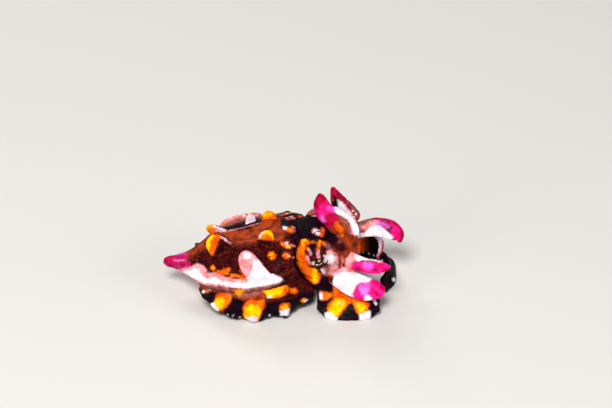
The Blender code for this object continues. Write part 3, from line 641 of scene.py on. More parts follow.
funnelForm = {"path": [(3.6, 0.0, 5.6), (7.4, 0.0, 5.0), (11.2, 0.0, 4.6)], "radius": 2.2}


def funnelTube():
    # rings of a flattened tube that tapers forward, with the wall turned in at its open end
    where = np.linspace(0, 1, 40)
    middle = along(funnelForm["path"], where)
    angle = fullTurn(64)
    radius = funnelForm["radius"] * (1 - 0.35 * where)
    ring = np.stack([np.zeros_like(angle), np.cos(angle) * 1.25, np.sin(angle) * 0.8], axis=-1)
    rings = middle[:, None] + ring * radius[:, None, None]
    steps = ((0.85, 0.1), (0.68, 0.02), (0.62, -0.5), (0.6, -1.6))
    inner = [middle[-1] + ring * radius[-1] * share + (forward, 0, 0) for share, forward in steps]
    rings = np.concatenate([rings, inner])
    return withEnds(rings)


lipForm = {
    "centre": np.array((18.3, 0.0, 12.5)),
    "radius": 2.0,
    "folds": 14,
    # step forward in mm, and radius as a share
    "profile": [(-1.6, 1.0), (0.0, 1.02), (0.75, 0.88), (0.9, 0.66), (0.55, 0.45), (-0.4, 0.3)],
}


def lipTube():
    # the round lips: rings out of the head, over the rim and into the mouth, crimped by a wave round them
    profile = along(lipForm["profile"], np.linspace(0, 1, 36))
    angle = fullTurn(84)
    wave, forward = np.cos(angle * lipForm["folds"]), profile[:, :1]
    radius = profile[:, 1:] * (1 + 0.07 * wave * ramp(forward, 0.0, 0.7)) * lipForm["radius"]
    forward = forward + 0.12 * wave * ramp(forward, 0.2, 0.8)
    rings = np.stack([forward, radius * np.cos(angle), radius * np.sin(angle)], axis=-1)
    rings += lipForm["centre"]
    return withEnds(rings)


jowlForm = {"centre": np.array((8.8, 4.6, 6.8)), "size": (4.4, 3.2, 3.7)}

# the web between the third and the lowest arm of the left side: rows of x, y, z of its upper and lower edge
webForm = [
    (14.6, 5.6, 11.4, 14.6, 7.8, 5.6),
    (18.0, 7.2, 11.6, 18.0, 9.2, 5.2),
    (21.0, 8.2, 11.4, 21.4, 9.2, 4.6),
    (24.2, 7.4, 9.0, 24.6, 7.6, 3.8),
]


def webTube(side):
    # a ruled sheet between two edges; the right one is drawn in, since its arms are lower
    where = np.linspace(0, 1, 70)
    edges = along(webForm, where)[:, None]
    fall = np.linspace(0, 1, 24)[None, :, None]
    middle = edges[..., :3] * (1 - fall) + edges[..., 3:] * fall
    if side < 0:
        middle = middle * (0.72, -0.86, 0.82) + (3.4, 0, 0)
    rings = sheetSections(middle, np.full(middle.shape[:2], 0.7), 56)
    return withEnds(rings)


flapForm = {"centre": np.array((-9.6, 5.2, 1.3)), "size": (6.4, 2.6, 1.8)}


def flapTube(side):
    # one of the two flaps that the animal walks on: an ellipsoid cut level with the ground
    rings, start, end = ballTube(flapForm["centre"] * (1, side, 1), flapForm["size"], 30, 48)
    rings[..., 2] = np.maximum(rings[..., 2], 0.0)
    return rings, start, end


# the markings: for each kind, the distance in mm inside its edge, negative outside

markNames = (
    "magenta", "white", "yellow", "orange", "dark", "pink",
    "warm", "rim", "deep", "tan", "crimson", "violet",
)


def noMarks(shape):  # every kind 2 mm away
    return np.full(tuple(shape) + (len(markNames),), -2.0)


def mark(field, name, inside):  # raises one kind to this distance where it is the larger
    at = markNames.index(name)
    field[..., at] = np.maximum(field[..., at], inside)


def plainMarks(rings, **kinds):  # one level all over, or an array of levels, for each kind
    field = noMarks(rings.shape[:2])
    for name, inside in kinds.items():
        mark(field, name, inside)
    return field


def within(value, low, high):  # distance inside a range
    return np.minimum(value - low, high - value)


def ringLevels(rings):
    # distance round each ring from the nearer side ledge: positive over the back, negative under the belly
    half = rings.shape[1] // 2
    steps = np.linalg.norm(np.roll(rings, -1, axis=1) - rings, axis=-1)
    gone = np.cumsum(steps, axis=1) - steps
    total = steps.sum(axis=1, keepdims=True)
    middle = gone[:, half : half + 1]
    upper = np.minimum(gone, middle - gone)
    lower = -np.minimum(gone - middle, total - gone)
    return np.where(np.arange(rings.shape[1]) < half, upper, lower)


def outward(rings):
    # unit normals of closed rings, pointing away from the middle of each ring
    sideways = np.roll(rings, -1, axis=1) - np.roll(rings, 1, axis=1)
    normal = unit(np.cross(np.gradient(rings, axis=0), sideways))
    return normal * np.sign((normal * (rings - rings.mean(axis=1, keepdims=True))).sum(axis=-1).mean())


def insideShape(p, q, width, corners):
    # distance in mm inside a closed outline, where the width is 0, or inside a line or a dot of this half
    # width; its corners are given as p, q, p, q
    corners = np.array(corners, float).reshape(-1, 2)
    if len(corners) == 1:
        return width - np.hypot(p - corners[0, 0], q - corners[0, 1])
    starts, ends = (corners, np.roll(corners, -1, axis=0)) if width == 0 else (corners[:-1], corners[1:])
    off, odd = np.full(p.shape, 99.0), np.zeros(p.shape, bool)
    for (pa, qa), (pb, qb) in zip(starts, ends):
        dp, dq = pb - pa, qb - qa
        f = np.clip(((p - pa) * dp + (q - qa) * dq) / (dp * dp + dq * dq), 0, 1)
        off = np.minimum(off, np.hypot(p - pa - f * dp, q - qa - f * dq))
        if width == 0 and dq:
            odd ^= ((qa > q) != (qb > q)) & (p < dp * (q - qa) / dq + pa)
    return np.where(odd, off, -off) if width == 0 else width - off


sideView = {
    "tilt": (0.819, 0.574),  # cosine and sine of 35 degrees
    "distance": 850.0,  # to the viewer, in mm
    "height": 7.9,  # mm above the ground, where the middle plane is seen at its true size
    "middle": (5.75, 21.0),  # the spot that perspective leaves where it is
    "shift": 0.1,  # along the body, in mm
}


def sideMarks(field, rings, shapes, way, half=0, start=-0.4, cover=False, normals=None):
    # shapes laid out on a side view from 35 degrees above level, in mm along the body and mm up, marked
    # on the surfaces that look that way; way -1 is the view from the right, half 1 keeps to the near half
    # of the body and -1 to the far half, from start mm off the middle line; with cover the surfaces
    # lose the marks that they had
    x, y, z = np.moveaxis(rings, -1, 0)
    (cos, sin), (p0, q0) = sideView["tilt"], sideView["middle"]
    near = 1 + (cos * way * y + sin * (z - sideView["height"])) / sideView["distance"]
    p = p0 + (x - p0) * near + sideView["shift"]
    q = q0 + (cos * z - sin * way * y - q0) * near
    normals = outward(rings) if normals is None else normals
    facing = (normals * (0, cos * way, sin)).sum(axis=-1)
    limit = 9.0 if cover else 4 * facing
    if half:
        limit = np.minimum(limit, half * way * y - start)
    seen = noMarks(field.shape[:2]) if cover else field
    for kind, width, corners in shapes:
        mark(seen, kind, np.minimum(insideShape(p, q, width, corners), limit))
    if cover:
        share = ramp(facing, 0.0, 0.25)[..., None]
        field[:] = field * (1 - share) + seen * share


# kind, half width of a line or 0 for a closed outline, and its corners in the side view in mm
sideShapes = {
    "body": [
        ("magenta", 0, (
            -30.4, 7, -28.9, 8.2, -26.5, 8.6, -24.6, 9.2, -23.8, 8.5, -24.4, 7.3, -23.2, 6.3, -23.8, 5,
            -25, 4.2, -28.2, 4.9, -30.2, 6,
        )),
        ("crimson", 0, (-30.4, 7.2, -29, 8.2, -27.6, 7.9, -27.8, 7, -29.2, 6.7)),
        ("crimson", 0.2, (-28.4, 6.2, -26.6, 6.2, -25, 5.6)),
        ("crimson", 0.1, (-27.6, 7.6, -25.8, 7.7, -24.4, 7.8)),
        ("pink", 0.16, (-27.2, 7, -26, 6.9, -24.4, 7)),
        ("violet", 0.1, (-26.4, 8.5, -24.8, 8.9)),
        ("warm", 0, (
            -25.4, 8.2, -23, 9.6, -20.4, 11.2, -18.6, 12.4, -18.8, 10.4, -20.2, 8.9, -22.8, 7.4,
            -24.6, 7,
        )),
        ("white", 0, (
            -25.2, 4.5, -23.4, 4.3, -22.2, 5.2, -21, 4.8, -20.2, 3, -18.9, 2.2, -17.8, 2.6, -16.6, 2.5,
            -15.2, 1.5, -14, 1.7, -12.8, 1.1, -11.2, 1.3, -9.6, 0.9, -8.4, 1.5, -6.4, 1.9, -4.2, 3.8,
            -2.4, 3.2, -0.9, 2.5, 0.1, 1.8, -1.6, 1, -4.4, 0.5, -7, 0, -9.6, -0.2, -13, 0.1, -15, 0.6,
            -17, 1, -19.8, 1.2, -21.2, 1.9, -23.4, 3.1, -25.2, 4.1,
        )),
        ("pink", 0, (
            -26.2, 4.8, -23.4, 5.3, -21.4, 6.2, -19.6, 5.4, -18.8, 3.8, -16.4, 3.8, -14.6, 2.8,
            -12.4, 2.2, -9.6, 1.9, -8, 1.2, -9.6, -0.5, -15, 0.2, -19, 0.7, -21.6, 1.4, -26, 4.1,
        )),
        ("orange", 0.6, (-17.6, 5)),
        ("yellow", 0.2, (-17.6, 5)),
        ("orange", 0, (-16.6, 4.2, -15.2, 4.4, -13.6, 5.1, -13.2, 4.6, -14, 3.2, -15.6, 3.1, -16.6, 3.6)),
        ("orange", 0.34, (-13, 3, -11.6, 2.9, -10.4, 2.5, -9.2, 2.1)),
        ("orange", 0.2, (-10.7, 4.3, -10, 3.4, -8.6, 2.5, -6.8, 1.9)),
        ("deep", 0, (-24, 7, -21.6, 7, -19.4, 8.8, -18.4, 10, -18.4, 6, -20, 5.2, -22.8, 5.8)),
        ("orange", 0, (-13, -0.5, -9.3, -0.5, -10, -1.3, -10.9, -2.1, -12, -1.6)),
        ("yellow", 0, (-12.3, -0.8, -10.2, -0.9, -10.9, -1.9)),
        ("orange", 1.05, (-2.8, 7.95)),
        ("yellow", 0.5, (-2.9, 8)),
        ("orange", 0.42, (-0.3, 10.9, 0.3, 10.8)),
        ("white", 0.42, (0.9, 10.95)),
        ("yellow", 0.3, (0.9, 10.3, 1.5, 10.2)),
        ("orange", 0.42, (0.8, 10.2, 1.8, 10.2)),
        ("pink", 0.14, (1.9, 10.6, 2.5, 10.4, 3.1, 10.3)),
        ("orange", 0.72, (0.6, 7.9, 1.4, 7.7)),
        ("pink", 0.42, (1.2, 7.8)),
        ("white", 0.26, (1.15, 7.8)),
        ("pink", 0.04, (2.1, 7.5, 3, 7.4)),
        ("warm", 0.4, (-0.8, 9.2, 0.4, 8.7)),
        ("orange", 0.42, (1.1, 14.5, 2.1, 14.3)),
        ("warm", 0, (-0.6, 14.6, 3, 15.2, 3.2, 13.4, 1.6, 12.8, -0.4, 13)),
        ("white", 0.42, (0.3, 15, 0.6, 14.85)),
        ("pink", 0.08, (2.2, 15.2, 2.9, 14.8, 3, 13.9)),
        ("deep", 0, (-1.6, 16.8, 4, 17.4, 4, 15.6, 1.4, 15.5, -0.6, 15.4)),
        ("dark", 0, (1.6, 13.2, 4, 13.4, 4, 10.9, 2.2, 11.1)),
        ("dark", 0, (
            2.6, 19, 4.6, 19, 4.4, 13, 3.8, 9, 5, 5, 9, 1, 9.4, -1, 7.6, 0.4, 4.4, 2.6, 3, 6.5, 2.9, 12,
        )),
        ("deep", 0, (0.6, 13.4, 3.2, 13.4, 3.2, 11.8, 0.2, 11.8)),
    ],
    "bodyFar": [
        ("tan", 0, (
            -24, 9.8, -20, 13.4, -16.6, 15.8, -10, 19.4, 0, 19.8, -0.8, 18.2, -5, 17.8, -9, 17.2,
            -11, 16.4, -14, 15.4, -17, 14.6, -21, 10.8,
        )),
        ("pink", 0.3, (-22.6, 10.8, -20.8, 12.4, -19.4, 13.4)),
        ("pink", 0.35, (-16, 16.2, -13.5, 16.9, -11, 17.9, -9, 18.3, -6.4, 18.5)),
        ("warm", 0.4, (-13, 16.1, -11, 16.9, -9.4, 17.4)),
        ("white", 0.42, (-15.8, 16.4)),
        ("white", 0.4, (-9.6, 18.3)),
        ("white", 0.32, (-21.6, 11.4)),
        # painted shadow: the dark trough beside the far ridge, where it lies in shade
        ("dark", 0, (
            -14.8, 15.2, -11.2, 16.2, -9.4, 16.7, -9, 15.6, -6.6, 15.2, -5.6, 16.4, -5.8, 17.6,
            -7, 17.4, -7, 15.6, -8.6, 14.8, -11, 14.3, -13.6, 14.7,
        )),
        ("pink", 0.2, (0.8, 17.6, 1.6, 17.9, 2.4, 17.7)),
        ("white", 0.3, (1.5, 18)),
        ("orange", 0.2, (3.9, 17.9, 4.7, 17.8)),
        ("dark", 0, (-0.6, 17.4, 4.4, 17.2, 4.4, 14, -0.6, 15)),
    ],
    "rear": [
        ("deep", 0, (-19.8, 15, -12, 15, -12, 8, -18, 8)),
        ("orange", 0, (-19.9, 14.4, -15.3, 14.4, -15.5, 12.8, -16.3, 11.5, -16.8, 10, -17.6, 8, -20, 8)),
        ("yellow", 0, (-20, 14.2, -16.6, 14.2, -17.3, 13, -18.2, 11.8, -18.3, 10.4, -18.6, 9.2, -20, 9)),
        ("white", 0.2, (-16.6, 13.75, -15.9, 13.5, -15.2, 12.7, -14.2, 11.9)),
        ("pink", 0.24, (-16.2, 13.6, -15, 12.4, -14, 11.8, -12.8, 10.9)),
    ],
    "rearFar": [
        ("orange", 0, (-20, 16.4, -16.9, 16, -17, 13.6, -18.2, 12, -20, 12)),
        ("yellow", 0, (-20, 16.6, -17.6, 16.2, -17.9, 15.3, -18.8, 14.7, -20, 14.8)),
        ("white", 0.3, (-17.3, 15.5, -15.8, 14.8, -14.2, 14.3)),
        ("pink", 0.4, (-16.6, 14.4, -14.4, 13.8, -13, 13.6)),
    ],
    "front": [
        ("deep", 0, (-8, 12.4, -1, 12.4, -1, 8, -8, 8)),
        ("orange", 0, (-7, 12.4, -6, 15, -2, 15, -1.6, 11.6, -4.2, 11.9)),
        ("yellow", 0.42, (-4.9, 13.9, -3.7, 14, -2.8, 13.3, -2.3, 12.6)),
        ("white", 0.2, (-6.1, 12.3, -5.5, 13.4, -4.6, 14.1)),
    ],
    "frontFar": [
        ("orange", 0, (-6.4, 16.6, -5.4, 19.4, -1.4, 19.4, -1.4, 16.4, -3.8, 16.6)),
        ("yellow", 0.5, (-4.5, 18.3, -3, 18.3)),
        ("pink", 0.3, (-5.7, 16.7, -5, 17.8)),
    ],
    "side": [
        ("pink", 0, (
            -12.4, 6, -11.6, 9, -9.6, 10.4, -7, 9.8, -5.8, 7.6, -3, 4.2, -2, 2.8, -7, 1.8, -9, 2.6,
            -10.8, 3.4,
        )),
        ("tan", 0.4, (-11.3, 5.6, -11.5, 6.8, -11.1, 7.6)),
        ("white", 0, (-10.2, 8.2, -9.4, 8.9, -8.1, 8.6, -8.1, 7.4, -9, 6.9, -9.9, 7.3)),
        ("white", 0, (
            -7.5, 7, -6.2, 6.6, -3.6, 4.4, -1, 3, -2, 0.4, -10.4, 0.6, -9.6, 2.2, -8.4, 3, -7.8, 4.4,
        )),
    ],
    "sideFar": [
        ("pink", 0, (-12, 20, -5, 20, -5, 14, -12, 14)),
        ("white", 0, (-10.4, 19.6, -6.4, 19.6, -6.4, 16.6, -7.2, 14.6, -9.4, 14.6)),
    ],
    "fin": [
        ("tan", 0, (
            -21, 2, -16, 2, 0, 2, -4.6, -0.9, -8, -2.2, -11, -2.4, -13, -1.6, -15, -1, -18, -0.6,
            -20.6, 0.4,
        )),
        ("warm", 0, (-11, 1, -4, 1, -2.6, -0.6, -3.2, -3.4, -6, -4, -10, -3.4, -12.6, -2.4, -12.4, -0.4)),
        ("deep", 0, (-4, -2.2, -1, 0, 3, 2.4, 9, 2, 9, -2.6, 4, -2.8, 0, -3.2, -4, -3.6)),
        ("dark", 0, (
            -21.4, 0, -19, -1, -16.6, -1.2, -13.2, -2.2, -10, -3.4, -4, -3.8, 0, -3.2, 3, -2.6, 6, -1,
            9, -1, 9, -9, -21, -9,
        )),
        ("orange", 0, (-12.9, -0.3, -9.4, -0.4, -10.2, -1.2, -11, -2, -12, -1.5)),
        ("yellow", 0, (-12.2, -0.9, -10.3, -0.9, -11, -1.9)),
        ("orange", 0, (
            -5.7, -0.3, -2.4, 0, -0.6, 0.9, 0.4, 1.9, 1.2, 0.8, 1.3, -0.9, -0.2, -2.3, -2.6, -2.8,
            -3.8, -2.6, -5, -1.3,
        )),
        ("yellow", 0, (
            -5, -0.7, -2.4, -0.5, -0.8, 0.4, 0.2, 1.3, 0.4, 0.2, -0.4, -1.6, -2.4, -2.4, -3.9, -2.2,
        )),
        ("white", 0.36, (-3.7, -2.4, -3.3, -2.4)),
        ("orange", 0, (1.6, -0.4, 2.8, -0.1, 3.7, -0.8, 3, -1.6, 1.7, -1.4)),
        ("yellow", 0.1, (2.5, -0.8, 2.8, -0.9)),
        ("orange", 0, (
            -16.7, -1.7, -15.4, -1.3, -13.3, -1.5, -12.9, -2.7, -13.7, -4.4, -15.3, -5.8, -16.6, -5.8,
            -17.9, -4.6, -17.1, -3,
        )),
        ("yellow", 0, (-16.5, -2.6, -15.2, -2.4, -14.4, -3.4, -15.2, -5.2, -16.6, -5.4, -17.4, -4.2)),
        ("white", 0, (-18.2, -3.8, -17.2, -3.9, -16.3, -5.4, -16.2, -6.4, -18, -6.2)),
        ("orange", 0, (
            -9.5, -3.8, -8.4, -3.2, -7, -3.3, -4.7, -3.2, -4.6, -4.4, -5.4, -6.2, -6.4, -8.4,
            -9.2, -8.4, -10.1, -6.6, -10, -5,
        )),
        ("yellow", 0, (-9.6, -5.4, -8, -4.2, -6.4, -4.6, -5.6, -5.8, -6.4, -8.4, -9.2, -8.4, -9.8, -6.8)),
        ("white", 0, (-9.3, -7.5, -8, -7.2, -6.5, -7.4, -6.4, -9, -9.4, -9)),
        ("orange", 0, (-0.7, -4.4, 0.4, -3.9, 1.5, -4, 1.5, -5.6, -0.4, -6.4, -1.1, -5.3)),
        ("yellow", 0.45, (0, -5.1, 0.7, -5)),
        ("white", 0, (-0.9, -5.8, 0.4, -5.6, 1.6, -5.3, 1.4, -7, -0.8, -7)),
        ("orange", 0.5, (5, -3.2)),
        ("yellow", 0.3, (5.1, -3.2)),
        ("white", 0.45, (5.8, -3.5)),
        ("orange", 0.4, (-19.1, -0.9)),
        ("white", 0.36, (-19.9, -1)),
        ("white", 0.3, (-18.2, -0.4)),
        ("white", 0.2, (-12.5, -6.9)),
        ("white", 0.2, (-14, -6.9)),
        ("white", 0.16, (-10.9, -7.4)),
        ("white", 0.2, (-3.4, -7)),
    ],
    "head": [
        ("dark", 0, (
            1, 17.6, 9.5, 17.2, 11, 15.8, 12.8, 14, 13.3, 12.4, 13, 11.2, 12.2, 10.6, 11.4, 11.2,
            9.4, 11.8, 1, 12,
        )),
        ("deep", 0, (
            11, 16, 13.4, 14.4, 14.3, 12.6, 15.9, 10.4, 16.2, 9.3, 14.6, 8.4, 13, 8.8, 12.4, 9.9,
            11.2, 11.2,
        )),
        ("deep", 0, (1, 13, 13, 13, 13, 8, 9, 2, 9, -2, 3, -2, 1, 4)),
        ("orange", 0, (
            4.3, 10.8, 3.6, 9.6, 3.3, 8, 3.6, 6, 4.4, 4.3, 5.8, 2.4, 7.4, 1, 8.7, 1, 9.2, 2.2, 9, 4,
            8, 4.7, 6.9, 5.2, 6.1, 6, 5.5, 7.4, 5.3, 9, 5.4, 10.2, 6.8, 11.1, 6.3, 11.7, 5.2, 11.95,
            4.6, 11.6,
        )),
        ("yellow", 0.3, (4.9, 11.4, 4.9, 10.5)),
        ("yellow", 0.2, (5.3, 11.7, 5.9, 11.6)),
        ("yellow", 0.55, (7.7, 4.4, 7.7, 3, 7.8, 1.7)),
        ("yellow", 0.34, (8.25, 3.5, 8.2, 1.5)),
        ("orange", 0.2, (5, 10.3, 5.8, 9.8, 6.3, 9.4)),
        ("pink", 0.26, (6.3, 9.35, 6.7, 8.9, 6.95, 8.2)),
        ("orange", 0.36, (9.1, 11.4, 8.9, 10.4, 8.75, 9.4)),
        ("yellow", 0.16, (9.15, 11.4, 9, 10.6)),
        ("pink", 0.36, (8.7, 9, 8.65, 8.1, 8.9, 7.4)),
        ("orange", 0.12, (7.2, 11.3, 8.4, 11.2)),
        ("dark", 0, (
            6.1, 10.9, 8.3, 10.9, 8.35, 9, 8.2, 7.8, 8.4, 7.3, 7.9, 6.9, 7.3, 7.2, 7.2, 8.2, 7.2, 9,
            6.6, 9.6,
        )),
        ("crimson", 0.1, (5.7, 9, 6.15, 8.2)),
        ("crimson", 0.03, (7.6, 7.35, 8.1, 7.3)),
        ("pink", 0.32, (5.9, 7.6, 6.2, 6.8, 6.5, 6)),
        ("crimson", 0.12, (6.2, 6.1)),
        ("orange", 0.28, (9.6, 11.2, 10.6, 10.9)),
        ("tan", 0.42, (10.1, 10.9, 11.2, 10.3, 11.7, 9.5)),
        ("pink", 0, (10.8, 8.9, 11.6, 9.4, 12.4, 9.2, 12.9, 8.4, 12.8, 7.6, 10.8, 7.7)),
        ("white", 0, (
            10, 8, 11.1, 7.8, 12, 8.3, 12.8, 8, 13, 6.9, 12.6, 6, 11.3, 5.9, 10.2, 6.2, 10, 6.5,
            10.4, 7,
        )),
        ("white", 0.66, (9.9, 4.1, 10.15, 3.95)),
        ("tan", 0, (12.8, 8.4, 13.6, 8.2, 13.9, 6, 13.8, 3.4, 11.6, 2.9, 9.2, 3, 9.4, 5, 12.3, 5.8)),
        ("warm", 0, (13.6, 9.4, 17.4, 9.4, 17.4, 4, 13.8, 3.4)),
        ("dark", 0.16, (10.5, 5.6, 11.2, 4.9, 11.2, 4.4)),
        ("orange", 0.16, (9.2, 3.1, 10.4, 3.3, 11.6, 3.1)),
        ("pink", 0.5, (12, 5.5, 12.4, 4.4, 11.8, 3.5)),
        ("pink", 0.36, (13.2, 7.8, 13.5, 6.4, 13.2, 4.6)),
        ("pink", 0.1, (14.6, 7.7, 15.1, 6.2, 14.7, 4.7)),
        ("pink", 0.12, (15.9, 7.2, 16.2, 5.8, 15.8, 4.8)),
        ("dark", 0, (
            9.1, 2.6, 10.5, 2.8, 12.3, 2.6, 12.8, 1.8, 13.8, 0.2, 14, -3, 4, -3, 4.4, 1, 7, 0.6,
            8.8, 0.8,
        )),
        ("warm", 0, (13.6, 14.4, 16, 15.6, 20, 16, 20, 6.2, 16.9, 6.4, 16.2, 9, 15.8, 10.6, 14.4, 12.4)),
        ("tan", 0.3, (13.9, 12.9)),
        ("tan", 0.3, (14.1, 11.4)),
        ("orange", 0.2, (14.6, 13.9, 15, 12.8)),
        ("pink", 0.66, (7.9, 14, 9.1, 13.5)),
        ("white", 0.42, (8, 13.95, 8.6, 13.7)),
        ("orange", 0.4, (9.7, 13, 9.9, 14.4)),
    ],
    "headFar": [
        ("tan", 0, (3.6, 17.6, 7, 22.5, 9.6, 22.5, 9, 19, 7.4, 17.4)),
        ("dark", 0, (0, 16, 9.5, 17.2, 12, 15, 12, 13, 0, 13)),
    ],
    "arm_1_right": [
        ("crimson", 0, (6.8, 20.6, 7, 23, 9.2, 25, 10.9, 23, 10.5, 21.2, 9.3, 20.2, 8.6, 19)),
        ("magenta", 0, (
            6.6, 21.4, 9.4, 21.8, 10.7, 22, 12.3, 20.6, 13.2, 19.2, 12.2, 18.2, 10.6, 17.4, 9.6, 15.4,
            7.6, 15.6, 6.4, 19,
        )),
        ("crimson", 0, (
            10.2, 18, 12.6, 18.3, 14, 17.4, 14.2, 16.7, 12.6, 15.9, 12, 14.4, 10.4, 14.9, 9.9, 16.6,
        )),
        ("warm", 0, (11, 16, 13.4, 17.6, 15.6, 16.9, 16, 14.8, 14.4, 12.8, 11.6, 13.6)),
        ("orange", 0.6, (13.2, 15.7, 14.4, 14.2)),
        ("warm", 0, (14.2, 17.2, 18.4, 17.2, 18.4, 10, 13.6, 10, 13.8, 14.2)),
        ("tan", 0.4, (14.2, 17.3, 15.6, 16.4, 16.5, 15, 16.9, 13.2)),
        ("violet", 0.45, (9.6, 17.4, 10, 16.6)),
        ("violet", 0.5, (11.4, 19.6, 12.6, 19.2)),
        ("white", 0, (
            12.4, 20.8, 14.6, 20.6, 17.4, 19.2, 19.8, 16.8, 19.8, 12.8, 17.7, 13.2, 17.2, 15.2,
            16.2, 16.7, 14.8, 17.6, 13, 18.6,
        )),
        ("pink", 0, (12.8, 19, 15, 17.6, 16.8, 16.2, 17.2, 13.2, 19.4, 12.4, 19.6, 17, 14, 21)),
        # painted shadow: a dark strip by the inner edge near the tip, where the curled arm is in shade
        ("dark", 0, (9.8, 22.9, 11.2, 22.8, 12.4, 20.8, 11.5, 20.3, 10.9, 20.9, 10.2, 21.9)),
    ],
    "arm_1_left": [
        ("crimson", 0, (
            10.8, 24, 12.2, 26, 13.6, 25, 15, 22.4, 14, 21.8, 13.3, 22.6, 12.6, 23.1, 12.2, 22,
            11, 21.6,
        )),
        # painted shadow: the dark hollow inside the curled arm; the orange flecks in it are real colour
        ("dark", 0, (12.4, 23.2, 13.2, 22.6, 13.9, 21, 14.6, 19.8, 13.4, 19, 12, 19.6, 12, 21.4)),
        ("orange", 0.22, (11.7, 21.5, 12.1, 20.7)),
        ("orange", 0.14, (12.5, 21.8)),
        ("warm", 0, (11, 22, 12.4, 22, 12.8, 20, 12, 19, 11, 20)),
        ("white", 0, (
            13.5, 21.9, 14.6, 21.5, 16.5, 19.3, 18, 17.2, 18.6, 15, 19.4, 12, 16, 12, 16, 16, 14, 19.6,
        )),
        ("crimson", 0.34, (14.8, 22.1, 16.5, 20, 18, 18.1, 19, 16)),
        ("tan", 0, (15.4, 22.8, 17.4, 20.6, 20, 17, 20, 12, 18.8, 12, 18.9, 15.6, 16.6, 19.6)),
    ],
    "arm_2_left": [
        ("tan", 0, (16, 18.4, 21, 18.4, 22.4, 17.4, 21.8, 15.4, 20.6, 13.8, 16, 13.4)),
        ("pink", 0, (19.6, 15.2, 22.4, 17.2, 24.2, 17, 23.4, 15.4, 21, 13.8)),
        ("warm", 0.4, (19.8, 15.8, 21.3, 16)),
        ("magenta", 0, (
            22.2, 17, 24.6, 16.9, 26.6, 16.9, 27.4, 14.8, 26.8, 13.4, 27.2, 11.8, 29, 10, 31, 12,
            30, 17, 26, 18.6, 22.2, 18.4,
        )),
        ("violet", 0.4, (23.9, 16.1, 25.2, 15.9, 26.2, 15.2)),
        ("crimson", 0.36, (
            22, 17.5, 24.5, 17.6, 26.4, 17.4, 28.1, 16.4, 29.4, 14.9, 30, 13.2, 29.6, 11.4,
        )),
        ("white", 0, (
            16, 13, 18.6, 13.5, 20.4, 13.7, 22, 15.2, 24.4, 15.6, 25.4, 14.6, 26.6, 13.5, 27.6, 12.6,
            27, 11.6, 24, 11.4, 20, 10.6, 16, 11,
        )),
    ],
    "arm_3_left": [
        ("white", 0, (14, 13, 24.8, 13, 24.9, 11, 24.5, 9.2, 23.8, 8, 21, 7.4, 14, 7)),
        ("magenta", 0, (25, 13, 25.1, 11, 24.7, 9.2, 23.7, 8.2, 21.6, 7.8, 22, 5, 27, 5, 27, 13)),
        ("crimson", 0.3, (25.7, 12, 26, 10.2, 25.6, 8.2, 24.8, 7)),
    ],
    "arm_2_right": [
        ("warm", 0, (14, 11, 17.8, 11, 18, 8.4, 17, 6.4, 14, 6.4)),
        ("pink", 0, (16.6, 9.4, 18.6, 9, 18.8, 6.8, 17.8, 6.2, 17.2, 4.6, 16.8, 3, 15.4, 3, 15.6, 7)),
        ("magenta", 0, (17.2, 6.2, 19.6, 6.4, 23.6, 6.2, 27.4, 6.6, 27.4, 2.4, 17.2, 2.4, 16.9, 4.6)),
        ("crimson", 0.5, (18.5, 4.7, 19, 4.2)),
        ("crimson", 0.4, (22.4, 4.4, 23.4, 4.3)),
        ("crimson", 0.5, (25.2, 4.2, 26.2, 4.5)),
        ("violet", 0.9, (20.9, 5.2, 21.6, 5.2)),
        ("white", 0, (
            17.6, 8.2, 20.2, 8.6, 22.6, 8.2, 25.6, 6.3, 23.8, 6.3, 21.6, 6.7, 19.6, 6.7, 18.2, 6.6,
        )),
    ],
    "arm_3_right": [
        ("pink", 0, (11, 5.4, 18, 5.4, 18, 3.4, 15.6, 3.8, 13.4, 2.9, 11, 3)),
        ("white", 0, (
            12.8, 3.1, 15.4, 3.9, 17.8, 3.6, 20.4, 3.6, 23.4, 3.6, 22.9, 2.6, 22, 1.8, 21.4, 1.3,
            20.3, 1.1, 19.2, 1.2, 18.4, 0.5, 17.7, -0.6, 17.3, -1.6, 17.6, -3.4, 14, -3.4, 12, -1,
        )),
        ("magenta", 0, (
            23.6, 3.4, 22.6, 2.6, 21.6, 1.4, 20.3, 1.2, 19.1, 1.4, 18.2, 0.6, 17.5, -0.6, 17.1, -1.6,
            17.2, -4, 26.4, -4, 26.4, 3.4,
        )),
        ("violet", 0, (18.8, 0.7, 21.8, 0.9, 21.6, -0.8, 20.8, -2.2, 19.8, -2.5, 19.3, -1)),
        ("crimson", 0.5, (24.8, 0.9, 24.8, -0.2)),
        ("crimson", 0.42, (23, -1.4, 23.4, -1.9)),
        ("crimson", 0.3, (18.7, -1.2)),
        ("white", 0, (20.3, -2.1, 21.4, -2, 22.1, -2.8, 21.6, -4.2, 20.2, -4.2)),
    ],
    "arm_4_right": [
        ("dark", 0, (7, 3, 26, 3, 26, -9, 7, -9)),
        ("orange", 0, (9.2, -0.9, 10.6, -1.1, 12.4, -1.5, 12, -2.4, 10.6, -3.2, 9.3, -3.2)),
        ("white", 0.36, (9.4, -1.5, 9.5, -2.7)),
        ("orange", 0, (
            12.6, 0.4, 15, 0.4, 16.6, -1.6, 17.4, -2.8, 16.9, -3.6, 16.2, -4.4, 15.2, -5.6, 14.2, -7,
            12.6, -7.6, 11.1, -6.6, 10.9, -5, 11.4, -4, 12.4, -3, 12.6, -1.6,
        )),
        ("yellow", 0, (
            13, -2.8, 15.2, -2.8, 15.5, -4.2, 14.6, -5.6, 13.8, -7, 12.2, -7.2, 11.4, -6.2, 11.4, -5.2,
            12.2, -4.2,
        )),
        ("white", 0.26, (14.2, -4)),
        ("white", 0, (10.4, -6.4, 11.4, -6.1, 12.6, -6.9, 13.6, -7.6, 13, -9, 10, -9)),
        ("orange", 0, (
            16.8, -2.4, 20.6, -2.9, 21.5, -4.2, 21.3, -5.4, 20.4, -6.6, 19, -7, 18, -5.9, 17.6, -4.4,
        )),
        ("yellow", 0, (18.3, -3.9, 20.2, -3.9, 20.5, -5, 19.9, -6.4, 18.9, -6.4, 18.3, -5.2)),
